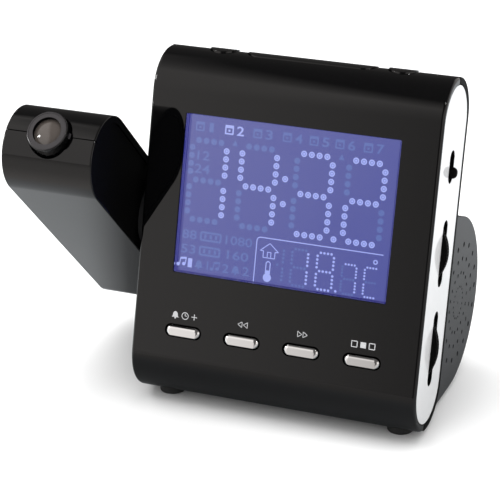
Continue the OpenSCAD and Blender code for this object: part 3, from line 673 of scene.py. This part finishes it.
on_dots, off_dots = [(-0.87, 78.33), (-0.87, 70.12), (17.47, 61.03)], []
for figure, (left, right) in zip("1432", digit_columns):
    digit(on_dots, off_dots, figure, left, right, upper_dots, lower_dots, bar_heights, 2.1, 2.65)
small_upper = (54.97, 53.75, 52.5, 51.21)
small_lower = (48.98, 47.75, 46.52, 45.26)
small_bars = (56.1, 50.09, 44.13)
on_small, off_small = [(19.78, 44.3)], [(-0.89, 50.12)]
for figure, left, right in ((" ", -4.4, 1.0), ("1", 3.97, 9.43), ("8", 12.67, 18.27)):
    digit(on_small, off_small, figure, left, right, small_upper, small_lower, small_bars, 1.0,
          1.22)
off_small = [dot for dot in off_small if dot[0] > 0.9 or dot == (-0.89, 50.12)]
tiny_upper = (52.73, 51.71, 50.69, 49.7)
tiny_lower = (47.9, 46.88, 45.91, 44.92)
digit(on_small, off_small, "7", 21.4, 26.17, tiny_upper, tiny_lower, (53.63, 48.8, 43.95),
      0.99, 1.03)
digit(on_small, off_small, "C", 29.02, 33.7, tiny_upper, tiny_lower, (53.57, 48.8, 43.95),
      0.75, 1.0)
off_small = [dot for dot in off_small if dot[0] < 33]

thin = 0.35
lines = [stroke((-8.64, 43.4), (-8.64, 57.0), thin), stroke((-7.39, 58.3), (34.7, 58.3), thin)]
corner = [(-7.39 + 1.25 * math.cos(math.radians(a)), 57.05 + 1.25 * math.sin(math.radians(a)))
          for a in range(90, 181, 15)]
lines += line(corner, thin)
house = [(-4.0, 56.65), (-7.18, 54.0), (-6.05, 54.0), (-6.05, 51.8), (-2.0, 51.8), (-2.0, 54.0),
         (-0.8, 54.0), (-4.0, 56.65)]
lines += line(house, 0.3)
lines += [stroke((-4.6, 52.0), (-4.6, 53.7), 0.3), stroke((-3.4, 52.0), (-3.4, 53.7), 0.3),
          stroke((-4.75, 53.7), (-3.25, 53.7), 0.3)]
lines += [stroke((-4.75, 46.5), (-4.75, 50.2), 0.35), stroke((-3.3, 46.5), (-3.3, 50.2), 0.35),
          stroke((-4.75, 50.2), (-4.03, 50.75), 0.35), stroke((-3.3, 50.2), (-4.03, 50.75), 0.35),
          circle((-4.05, 45.3), 1.45), stroke((-4.03, 45.3), (-4.03, 47.7), 1.5)]
lines += outlined(circle((32.3, 55.65), 0.62, 12), 0.45)

weekday_xs = (-29.8, -19.45, -9.6, 0.7, 9.9, 18.7, 28.3)


def page(middle):
    """A small calendar page."""
    x, z = middle
    return [stroke((x - 1.5, z - 1.3), (x + 1.5, z - 1.3), 0.5),
            stroke((x - 1.5, z + 1.05), (x + 1.5, z + 1.05), 1.0),
            stroke((x - 1.3, z - 1.3), (x - 1.3, z + 1.0), 0.5),
            stroke((x + 1.3, z - 1.3), (x + 1.3, z + 1.0), 0.5),
            stroke((x, z - 0.6), (x, z + 0.1), 0.7)]


def note(middle):
    """A small pair of music notes."""
    x, z = middle
    return [circle((x - 1.1, z - 0.9), 0.62, 10), circle((x + 0.9, z - 0.6), 0.62, 10),
            stroke((x - 0.62, z - 0.9), (x - 0.3, z + 1.4), 0.32),
            stroke((x + 1.38, z - 0.6), (x + 1.7, z + 1.7), 0.32),
            stroke((x - 0.35, z + 1.2), (x + 1.75, z + 1.5), 0.7)]


def bell(middle, size=1.0):
    """A small bell."""
    x, z = middle
    dome = [(x + size * a, z + size * b) for a, b in (
        (-1.4, -0.9), (-1.0, -0.5), (-0.9, 0.3), (-0.6, 0.95), (0, 1.25), (0.6, 0.95),
        (0.9, 0.3), (1.0, -0.5), (1.4, -0.9))]
    return [dome, circle((x, z - 1.15 * size), 0.32 * size, 10)]


lit_signs = page((-21.6, 91.9)) + letters("2", (-17.7, 91.9), 3.0, 2.5, 0.07)
lit_signs += note((-34.6, 46.3)) + letters("1", (-31.5, 46.3), 2.9, 1.5, 0.12)
faint_signs = []
for number, x in zip("1234567", weekday_xs):
    if number != "2":
        width = 1.5 if number == "1" else 2.5
        faint_signs += page((x - 2.1, 91.9)) + letters(number, (x + 1.9, 91.9), 3.0, width, 0.09)
faint_signs += letters("12", (-29.9, 82.4), 3.0, 4.4) + letters("24", (-30.0, 78.0), 3.0, 5.4)
for x in (-19.2, 17.6):
    faint_signs.append([(x - 1.0, 86.9), (x + 1.0, 86.9), (x, 88.9)])
faint_signs += letters("88", (-32.5, 55.8), 2.9, 5.2) + letters("1080", (-14.9, 55.8), 2.9, 9.4)
faint_signs += letters("53", (-32.5, 50.9), 2.9, 5.2) + letters("160", (-14.9, 50.9), 2.9, 7.6)
for z in (55.8, 50.9):
    faint_signs += outlined(rectangle(-28.4, -21.4, z - 1.3, z + 1.3), 0.7)
    faint_signs += [stroke((x, z - 0.7), (x, z + 0.7), 0.8) for x in (-26.8, -24.9, -23.0)]
faint_signs += bell((-28.3, 46.2), 1.15) + letters("1", (-25.2, 46.2), 2.9)
faint_signs += note((-22.6, 46.2)) + letters("2", (-18.8, 46.2), 2.9, 2.3)
faint_signs += bell((-15.2, 46.2), 1.15) + letters("2", (-11.6, 46.2), 2.9, 2.3)

navy = lit("display_edge", (0.000, 0.000, 0.035, 1), (0.0, 0.0, 0.03, 1))
blue_border = lit("display_border", (0.010, 0.012, 0.20, 1), (0.008, 0.008, 0.17, 1))
# Painted light for the stripes at the display's edges, drawn below.
painted_edge_light = lit("display_painted_edge_light", (0.050, 0.055, 0.30, 1), (0.04, 0.045, 0.27, 1))
blue_field = lit("display_field", (0.113, 0.124, 0.375, 1), (0.064, 0.078, 0.335, 1))
cell_on = lit("cells_on", (0.42, 0.48, 0.95, 1), (0.36, 0.43, 0.95, 1))
cell_core = lit("cells_on_ring", (0.25, 0.30, 0.72, 1), (0.20, 0.26, 0.70, 1))
cell_off = lit("cells_off", (0.140, 0.190, 0.480, 1), (0.090, 0.145, 0.440, 1))


def shown(shapes, y, name, finish, step=refracted):
    """Makes a thin layer of the display, each one a little in front of the last."""
    piece = drawn(shapes, y, step)
    worked(piece, "SOLIDIFY", thickness=0.006, offset=-1)
    return fixed(piece, name, on_case, "case", "display", finish)


def dotted(large, small):
    """The cells of the large figures and of the small ones, which are smaller on the right."""
    return ([circle(dot, dot_r) for dot in large]
            + [circle(dot, 0.45 if dot[0] < 20 else 0.38, 10) for dot in small])


shown([rectangle(-38.5, 38.5, 41.0, 97.0)], 2.487, "display_edge", navy, (0, 0))
shown([rectangle(-36.95, 38.3, 41.5, 96.7)], 2.482, "display_border", blue_border)
# Painted light: the stripes along the left and bottom edges stand in for the display's own light
# seen again at the window's edges, and the line along the right edge stands in for light caught by
# the pane's edge.
shown([rectangle(-36.45, -36.15, 41.5, 96.7), rectangle(-35.8, 36.55, 42.0, 42.98),
       rectangle(-35.8, -34.9, 43.4, 96.6), rectangle(37.2, 37.55, 43.0, 96.6)],
      2.477, "display_painted_edge_light", painted_edge_light)
shown([rectangle(-35.1, 36.55, 43.4, 96.6)], 2.472, "display_field", blue_field)
shown(dotted(off_dots, off_small) + faint_signs, 2.46, "cells_off", cell_off)
shown(dotted(on_dots, on_small) + lines + lit_signs, 2.45, "cells_on", cell_on)
rings = []
for dot in on_dots:
    outer, inner = circle(dot, 0.62, 12), circle(dot, 0.36, 12)
    rings += [[outer[i - 1], outer[i], inner[i], inner[i - 1]] for i in range(12)]
shown(rings, 2.44, "cells_on_rings", cell_core)


# ---------- front keys ----------
# Four pill-shaped keys, moulded and chrome plated, round above and nearly square below, each
# with a flange behind the front wall and a nub that presses its switch.
bright_chrome = surface("bright_chrome", (0.95, 0.95, 0.955), 0.03, 0.015, 2.5, 0.001, 0.02,
                        Metallic=1)
key_face = -0.6
key_round = 1.5
key_rings = 12
front_key = bar("y", key_face, 3.39, (0, key_z), (key_w, key_h), key_h / 2, 48)
rounded(lambda a, b: max(a.y, b.y) < key_face + 0.1, key_round, key_rings)
for i in range(key_rings):
    turn = math.pi / 2 * i / key_rings
    drawn_in = key_round * (1 - math.sin(turn))
    level = key_face + key_round * (1 - math.cos(turn))
    pick(lambda p: abs(p.y - level) < 0.004 and p.z < key_z - 0.01)
    bpy.ops.transform.resize(value=(1, 1, (key_h / 2 - 0.2 * drawn_in) / (key_h / 2 - drawn_in)),
                             center_override=(0, 0, key_z))
    done()
cut(front_key, bar("y", 2.6, 3.4, (0, key_z), (key_w + 1.6, key_h + 1.6), key_h / 2 + 0.8, 48),
    rod("y", 3.2, 3.9, (0, key_z), 1.6), how="UNION")
softened(front_key, 0, 60)
two_tone(front_key, bright_chrome, dull_black, lambda face: face.center.y > 1.2)
for name, x in zip(("alarm_key", "back_key", "forward_key", "mode_key"), key_xs):
    fixed(copied(front_key, (x, 0, 0)), name + "_cap", on_case, name, "chrome_plate", None, name)
bpy.data.objects.remove(front_key)


# ---------- key signs ----------
# Small signs printed in pale grey over the four keys.
print_grey = surface("print_grey", (0.50, 0.50, 0.51), 0.45, 0.05, 0.5, 0.004)
sign_z = 28.3
dial = (key_xs[0] + 0.3, sign_z)
signs = bell((key_xs[0] - 3.2, sign_z), 0.95) + outlined(circle(dial, 1.15, 16), 0.26)
signs += [stroke(dial, (dial[0], dial[1] + 0.8), 0.22),
          stroke(dial, (dial[0] + 0.6, dial[1]), 0.22)]
signs += [stroke((key_xs[0] + 2.6, sign_z), (key_xs[0] + 4.6, sign_z), 0.26),
          stroke((key_xs[0] + 3.6, sign_z - 1), (key_xs[0] + 3.6, sign_z + 1), 0.26)]
for x, way in ((key_xs[1], -1), (key_xs[2], 1)):
    for step in (-0.95, 0.95):
        tip = [(x + step + way * 0.75, sign_z + 0.2), (x + step - way * 0.7, sign_z - 0.75),
               (x + step - way * 0.7, sign_z + 1.15)]
        signs += outlined(tip, 0.19)
for i in (-1, 0, 1):
    x = key_xs[3] + 3.0 * i
    square = rectangle(x - 0.95, x + 0.95, sign_z - 0.95, sign_z + 0.95)
    signs += [square] if i == 0 else outlined(square, 0.28)
printed = drawn(signs, -0.012, (0, 0))
worked(printed, "SOLIDIFY", thickness=0.012, offset=-1)
fixed(printed, "key_signs", on_case, "case", "gloss_white", print_grey)


# ---------- top keys ----------
# A snooze bar and two round keys in the top round, moulded in the case's own polished black
# and curved to its shape.
def top_key(x, width, proud, name):
    """A key that stands proud of the top round, with a flange and a nub below."""
    piece = bar("z", case_h - 5.9, case_h + 4, (x, mid_t), (width, top_key_d), top_key_d / 2, 48)
    cut(piece, slab(-case_w / 2, case_w / 2, -proud, 256), how="INTERSECT")
    softened(piece, 0.3, steps=3)
    cut(piece, bar("z", case_h - 5.9, case_h - 4.7, (x, mid_t), (width + 1.6, top_key_d + 1.6),
                   top_key_d / 2 + 0.8, 48),
        rod("z", case_h - 6.4, case_h - 5.5, (x, mid_t), 1.6), how="UNION")
    softened(piece, 0)
    fixed(piece, name + "_cap", on_case, name, "gloss_black", polished_black, name)


top_key(0, snooze_w, 0.3, "snooze_bar")
top_key(-top_key_x, top_key_d, 0.5, "top_left_key")
top_key(top_key_x, top_key_d, 0.5, "top_right_key")


# ---------- switch knob ----------
# A round-headed dull black knob that slides in the upper slot.
knob_at = (mid_t, 85.7)
knob = rod("x", case_w / 2 + 0.1, case_w / 2 + 2.1, knob_at, 1.85)
rounded(lambda a, b: min(a.x, b.x) > case_w / 2 + 2, 1.4, 8)
cut(knob, rod("x", panel_in - 1.2, case_w / 2 + 0.5, knob_at, 1.5), how="UNION")
softened(knob, 0)
fixed(knob, "slide_knob", on_case, "switch_knob", "satin_black", dull_black, "switch_knob")


# ---------- thumbwheels ----------
# Two moulded wheels with a notched rim, on stub shafts that turn the controls behind them.
wheel_t = 2.6
wheel_out = 1.9


def thumbwheel(radius, z, teeth, name):
    """A wheel that stands out of its slot, with a notch between each two teeth."""
    x = case_w / 2 + wheel_out - radius
    piece = rod("y", mid_t - wheel_t / 2, mid_t + wheel_t / 2, (x, z), radius, teeth * 2)

    def notch(middle, normal):
        turn = math.atan2(middle.z - z, middle.x - x) / (2 * math.pi) * teeth * 2
        return abs(normal.y) < 0.5 and round(turn) % 2 == 0

    pick(notch, "FACE")
    bpy.ops.mesh.inset(thickness=0.05, depth=-0.35, use_individual=True)
    piece = done()
    cut(piece, rod("y", mid_t + 1, mid_t + wheel_t / 2 + 2.4, (x, z), 3), how="UNION")
    softened(piece, 0.05, 50, 1)
    fixed(piece, name + "_disc", on_case, name, "satin_black", dull_black, name)


thumbwheel(13.4, 59.1, 84, "tuning_wheel")
thumbwheel(16.4, 27.5, 102, "volume_wheel")


# ---------- rear housing ----------
# The drum behind the case, one charcoal moulding with a tangent roof, a flat underside and a
# closed left end, screwed to the case from inside.
drum_r = 30.2
drum_y = 51
drum_z = 26.346
drum_half = 48
drum_wall = 2.4
end_plate_t = 2.4
roof_slope = math.radians(18.4)
roof_run = 18.6
flat_from = 24
charcoal = surface("charcoal", (0.040, 0.042, 0.045), 0.45, 0.05, 0.5, 0.015, 0.08)


def drum_outline(x0, x1):
    """The housing's skin from x0 to x1: drum, roof, flat underside and a short front lip."""
    let_go()
    bpy.ops.mesh.primitive_cylinder_add(vertices=96, radius=drum_r, depth=x1 - x0,
                                        end_fill_type="NOTHING", rotation=(0, math.pi / 2, 0),
                                        location=((x0 + x1) / 2, drum_y, drum_z))
    settled()
    top_turn = 90 - math.degrees(roof_slope)

    def in_front(p):
        turn = math.degrees(math.atan2(p.z - drum_z, p.y - drum_y)) % 360
        return top_turn + 0.5 < turn < 269.5

    pick(in_front)
    bpy.ops.mesh.delete(type="VERT")
    done()
    roof_y = drum_y + drum_r * math.sin(roof_slope)
    pick(lambda a, b: min(a.z, b.z) > drum_z + 20 and abs(a.y - b.y) < 0.01
         and abs(a.y - roof_y) < 0.6 and abs(a.x - b.x) > 0.5, "EDGE")
    bpy.ops.mesh.extrude_edges_move(TRANSFORM_OT_translate={"value": (
        0, -roof_run * math.cos(roof_slope), roof_run * math.sin(roof_slope))})
    done()
    low = drum_z - drum_r
    pick(lambda a, b: max(a.z, b.z) < low + 0.01 and abs(a.y - b.y) < 0.01
         and abs(a.y - drum_y) < 0.1, "EDGE")
    bpy.ops.mesh.extrude_edges_move(TRANSFORM_OT_translate={"value": (0, flat_from - drum_y, 0)})
    bpy.ops.mesh.extrude_edges_move(TRANSFORM_OT_translate={"value": (0, 0, 4.3)})
    return done()


def case_room():
    """The room that the leaning case takes, as a tool on the upright datum."""
    tool = slab(-case_w / 2 - 2, case_w / 2 + 2)
    tool.data.transform(fuller)
    tool.data.transform(Matrix.Rotation(-lean, 4, "X"))
    return tool


def arc_block(r0, r1, half_x, span):
    """A piece of the drum's wall between two radii, spun round the drum's axis."""
    let_go()
    bpy.ops.mesh.primitive_plane_add(size=1)
    piece = bpy.context.object
    piece.scale = (2 * half_x, r1 - r0, 1)
    settled()
    piece.data.transform(Matrix.Translation((0, (r0 + r1) / 2, 0)))
    piece.data.transform(Matrix.Rotation(-math.radians(span) / 2, 4, "X"))
    piece.data.transform(Matrix.Translation((0, drum_y, drum_z)))
    pick(lambda p: True)
    bpy.ops.mesh.spin(steps=24, angle=-math.radians(span), center=(0, drum_y, drum_z),
                      axis=(1, 0, 0))
    bpy.ops.mesh.select_all(action="SELECT")
    bpy.ops.mesh.remove_doubles(threshold=0.001)
    bpy.ops.mesh.normals_make_consistent(inside=False)
    return done()


housing = drum_outline(-drum_half, drum_half - end_plate_t)
pick(lambda a, b: max(a.x, b.x) < -drum_half + 0.1, "EDGE")
bpy.ops.mesh.edge_face_add()
bpy.ops.mesh.select_all(action="SELECT")
bpy.ops.mesh.normals_make_consistent(inside=False)
done()
worked(housing, "SOLIDIFY", thickness=drum_wall, offset=-1, use_even_offset=True)
bay_room = block((0, drum_y + 24, drum_z), (48, 18, 22))
cut(housing, case_room(), arc_block(drum_r - 1.6, drum_r + 1, 27.3, 57.1), bay_room)
softened(housing, 0.2, 38)
fixed(housing, "drum_housing", upright, "case", "housing_grey", charcoal, "rear_housing")


# ---------- speaker end plate ----------
# The drum's right end: a charcoal plate with rings of punched holes, smaller towards the
# middle, and a collar behind it that seats the speaker.
grille_at = (49.2, 37.7)
hole_rings = ((5.5, 0.9), (10.4, 1.3), (15.3, 1.6), (20.2, 1.9))
end_plate = drum_outline(drum_half - end_plate_t, drum_half)
for x in (drum_half - end_plate_t, drum_half):
    pick(lambda a, b: abs(a.x - x) < 0.01 and abs(b.x - x) < 0.01, "EDGE")
    bpy.ops.mesh.edge_face_add()
    done()
pick(lambda a, b: True, "EDGE")
bpy.ops.mesh.select_all(action="SELECT")
bpy.ops.mesh.fill_holes(sides=0)
bpy.ops.mesh.normals_make_consistent(inside=False)
done()
cut(end_plate, case_room())
softened(end_plate, 0.35, 38, 3)
holes = [rod("x", drum_half - end_plate_t - 1, drum_half + 1, grille_at, 0.45, 12)]
for row_r, width in hole_rings:
    for i in range(18):
        turn = math.radians((i + 0.5) * 20)
        holes.append(rod("x", drum_half - end_plate_t - 1, drum_half + 1,
                         (grille_at[0] + row_r * math.cos(turn),
                          grille_at[1] + row_r * math.sin(turn)), width / 2, 16))
drill = joined(holes)
# Painted shade: the walls of the holes take a near-black finish that stands in for the dark depth
# seen through them.
painted_hole_shade = surface("painted_hole_shade", (0.004, 0.004, 0.004), 0.6, 0.05, 0.4, 0.006, 0.1)
end_plate.data.materials.append(charcoal)
drill.data.materials.append(painted_hole_shade)
drill.data.transform(Matrix.Rotation(-lean, 4, "X"))
cut(end_plate, drill)
collar = rod("x", drum_half - end_plate_t - 1.2, drum_half - end_plate_t + 0.3, grille_at, 18, 64)
cut(collar, rod("x", drum_half - 6, drum_half - end_plate_t + 0.1, grille_at, 16.8, 64))
collar.data.transform(Matrix.Rotation(-lean, 4, "X"))
cut(end_plate, collar, how="UNION")
softened(end_plate, 0, 38)
fixed(end_plate, "speaker_end_plate", upright, "case", "housing_grey", None, "speaker_grille")


# ---------- battery door ----------
# A curved door in the back of the drum, with four grip ribs near its upper edge.
door_span = 56
door = arc_block(drum_r - 1.3, drum_r - 0.02, 27, door_span)
softened(door, 0.25, 38)
ribs = []
for i in range(4):
    turn = door_span / 2 - 8 - 3 * i
    rib = softened(block((0, drum_r - 0.05, 0), (12, 0.7, 0.6)), 0.2, 40, 3)
    rib.data.transform(Matrix.Rotation(math.radians(turn), 4, "X"))
    rib.data.transform(Matrix.Translation((0, drum_y, drum_z)))
    ribs.append(rib)
cut(door, joined(ribs), how="UNION")
softened(door, 0, 38)
fixed(door, "battery_cover", upright, "battery_door", "housing_grey", charcoal, "battery_door")


# ---------- feet ----------
# Four rubber discs: two under the case's round bottom and two under the drum.
rubber = surface("matt_rubber", (0.016, 0.016, 0.016), 0.62, 0.06, 0.25, 0.02, 0.15)
foot_r = 4.4
feet = []
for y, reach, top, under_case in ((17.316, 41, 1.2 - round_drop, True),
                                  (45.6, 37, -round_drop, False)):
    for x in (-reach, reach):
        foot = rod("z", -lift, top, (x, y), foot_r, 48)
        rounded(lambda a, b: max(a.z, b.z) < -lift + 0.01, 0.6, 4)
        if under_case:
            cut(foot, case_room())
        feet.append(foot)
feet = joined(feet)
softened(feet, 0)
fixed(feet, "foot_pads", upright, "case", "foot_rubber", rubber, "rubber_feet")


# ---------- screws ----------
# Zinc-plated pan-head screws with a cross recess, from the back.
zinc_plate = surface("zinc_plate", (0.55, 0.55, 0.56), 0.30, 0.08, 0.4, 0.006, 0.1, Metallic=1)
screw = rod("y", screw_seat, screw_seat + 1.7, (0, 0), 2.6, 48)
rounded(lambda a, b: min(a.y, b.y) > screw_seat + 1.6, 0.9, 6)
cut(screw, *[block((0, screw_seat + 1.7, 0), size) for size in ((3, 2, 0.7), (0.7, 2, 3))])
cut(screw, rod("y", 6, screw_seat + 0.2, (0, 0), 1.15, 20), how="UNION")
softened(screw, 0)
fixed(joined([copied(screw, (x, 0, z)) for x, z in case_screw_places]), "case_screw_set",
      on_case, "case", "steel", zinc_plate, "case_screws")
arm_out = -84.1
arm_in = -52.25
arm_x = (arm_out + arm_in) / 2
arm_screw_places = ((arm_x - 8.4, 48), (arm_x + 8.4, 48), (arm_x, 14))
fixed(joined([copied(screw, (x, 0, z)) for x, z in arm_screw_places]), "arm_screw_set",
      on_arm, "projector_arm", "steel", zinc_plate, "arm_screws")
bpy.data.objects.remove(screw)


# ---------- power inlet ----------
# A moulded socket in the back of the case, with a pin in its bore.
inlet = rod("y", 23, case_t, (jack_x, jack_z), 4, 64)
rounded(lambda a, b: min(a.y, b.y) > case_t - 0.1, 0.3, 3)
cut(inlet, block((jack_x, 21.05, jack_z), (9, 10.1, 9)), how="UNION")
cut(inlet, rod("y", 18, case_t + 1, (jack_x, jack_z), 2.8, 48))
cut(inlet, rod("y", 17.5, case_t - 1, (jack_x, jack_z), 0.8, 24), how="UNION")
softened(inlet, 0)
fixed(inlet, "power_inlet", on_case, "case", "satin_black", satin_black, "dc_jack")


# ---------- projector arm mouldings ----------
# The arm's two polished halves have the case's own side outline, and the seam runs round
# its nose. The rear half has sunk screw holes.
def arm_half(front, name, node_name):
    """One half of the arm, with a round hole in its nose for the focus ring."""
    piece = half_shell(arm_out, arm_in, front, 0.34, 0.5)
    if not front:
        cut(piece, screw_bosses(arm_screw_places), how="UNION")
        cut(piece, *screw_bores(arm_screw_places))
    cut(piece, rod("z", 100, case_h + 5, (arm_x, mid_t), 7.5, 64))
    softened(piece, 0.15)
    dull_end(piece, arm_in)
    fixed(piece, name, on_arm, "projector_arm", "gloss_black", None, node_name)


arm_half(True, "arm_front_case", "arm_front_shell")
arm_half(False, "arm_rear_case", "arm_rear_shell")


# ---------- arm end panels ----------
# Inserts in the arm's open ends: white outside, like the case's right end, and dull black on
# the side that faces the case.
outer = slab(arm_out + 0.1, arm_out + 2.3, panel_inset)
softened(outer, 0.15)
fixed(outer, "arm_outer_cover", on_arm, "projector_arm", "gloss_white", gloss_white,
      "arm_outer_panel")
inner = slab(arm_in - 2.6, arm_in - 0.45, panel_inset)
cut(inner, rod("x", arm_in - 4, arm_in + 1, (mid_t, mid_z), wire_bore))
softened(inner, 0.15)
fixed(inner, "arm_inner_cover", on_arm, "projector_arm", "satin_black", dull_black,
      "arm_inner_panel")


# ---------- pivot hub ----------
# A hollow shaft with a broad flange, fixed to the arm and turning in the case's left panel.
hub = rod("x", arm_in - 0.1, -case_w / 2 - 0.15, (mid_t, mid_z), 12, 96)
cut(hub, rod("x", -case_w / 2 - 0.5, -panel_in + 4, (mid_t, mid_z), hub_r, 64), how="UNION")
cut(hub, rod("x", arm_in - 1, -panel_in + 5, (mid_t, mid_z), wire_bore, 48))
softened(hub, 0.2)
fixed(hub, "hub_shaft", on_arm, "projector_arm", "satin_black", satin_black, "pivot_hub")


# ---------- focus ring ----------
# A polished black ring in the arm's nose, with a satin grey face, a rounded outer edge and a
# small grip tab.
ring_r = 6.9
ring_z = 109.5
ring_top = 119.5
ring = rod("z", ring_z, ring_top, (arm_x, mid_t), ring_r, 96)
rounded(lambda a, b: min(a.z, b.z) > ring_top - 0.1, 0.5, 6)
cut(ring, rod("z", ring_z - 1, ring_top + 1, (arm_x, mid_t), 6.25, 96))
tab = bar("z", ring_z + 2, ring_z + 8, (arm_x + 6.8, mid_t), (1.7, 2), 0.3, 16)
softened(tab, 0.2)
cut(ring, tab, how="UNION")
softened(ring, 0.04, 38)
grey_satin = surface("grey_satin", (0.026, 0.024, 0.026), 0.22, 0.03, 0.8, 0.002, 0.08)
two_tone(ring, polished_black, grey_satin, lambda face: face.normal.z > 0.8)
fixed(ring, "focus_grip", on_arm, "focus_ring", "housing_grey", None, "focus_ring")


# ---------- lens and its cell ----------
# A domed lens, dark and slightly hazed, seated in a black turned cell with a satin grey face.
# The cell slides inside the focus ring.
cell_top = 118.5
cell_face = 119.42
lens_r = 4.77
dome_r = 12
dome_top = 119
cell = rod("z", 97, cell_face, (arm_x, mid_t), 6.22, 96)
cut(cell, rod("z", 96, cell_top + 1, (arm_x, mid_t), 4.4, 64))
cut(cell, rod("z", cell_top - 4.5, cell_top + 1, (arm_x, mid_t), lens_r + 0.01, 96))
softened(cell, 0.05, 38)
two_tone(cell, dull_black, grey_satin,
         lambda face: face.normal.z > 0.6 and face.center.z > cell_face - 0.1)
fixed(cell, "lens_holder", on_arm, "lens_cell", "satin_black", None, "lens_cell")
lens = rod("z", cell_top - 4.5, cell_face, (arm_x, mid_t), lens_r, 96)
let_go()
bpy.ops.mesh.primitive_uv_sphere_add(segments=128, ring_count=96, radius=dome_r,
                                     location=(arm_x, mid_t, dome_top - dome_r))
cut(lens, settled(), how="INTERSECT")
softened(lens, 0, 30)
lens_glass = clear("coated_lens", (0.95, 0.92, 0.90), 0.01, 1.55)
front_glass = surface("hazed_lens", (0.066, 0.056, 0.050), 0.03, 0.01, 9.0, 0.001, 0.04,
                      Coat_Weight=0.6)
fixed(lens, "projector_lens", on_arm, "lens_cell", "lens", front_glass, "front_lens")


# ---------- parts inside ----------
# Boards, controls, speaker, wiring and optics keep their shapes, each with its own finish.
def inner_finish(name, colour, rough, grain, depth, metal=0.0):
    """A finish for a part inside, dull or metallic."""
    return surface(name, colour, rough, 0.06, grain, depth, 0.15, Metallic=metal)


inside = {
    "gloss_black": polished_black, "satin_black": satin_black, "housing_grey": charcoal,
    "gloss_white": gloss_white, "chrome_plate": bright_chrome, "foot_rubber": rubber,
    "steel": zinc_plate, "window": clear_pane,
    "display": inner_finish("display_glass", (0.10, 0.11, 0.30), 0.15, 3.0, 0.002),
    "light_plate": inner_finish("light_plate", (0.62, 0.70, 0.90), 0.25, 2.0, 0.002),
    "circuit_board": inner_finish("solder_mask", (0.012, 0.10, 0.04), 0.30, 0.8, 0.01),
    "elastomer": inner_finish("elastomer", (0.65, 0.18, 0.22), 0.6, 0.4, 0.01),
    "copper": inner_finish("enamelled_wire", (0.60, 0.24, 0.10), 0.3, 0.4, 0.05, 1.0),
    "ferrite": inner_finish("ferrite", (0.045, 0.04, 0.038), 0.55, 0.5, 0.03),
    "wire": inner_finish("wire_jacket", (0.45, 0.03, 0.02), 0.4, 0.6, 0.01),
    "cone": inner_finish("cone_paper", (0.03, 0.029, 0.028), 0.9, 0.5, 0.06),
    "lens": lens_glass,
}
for row in frame["record"]["subparts"]:
    part = frame["nodes"][row["node"]]
    part.material_slots[0].material = inside[row["material_slot"]]
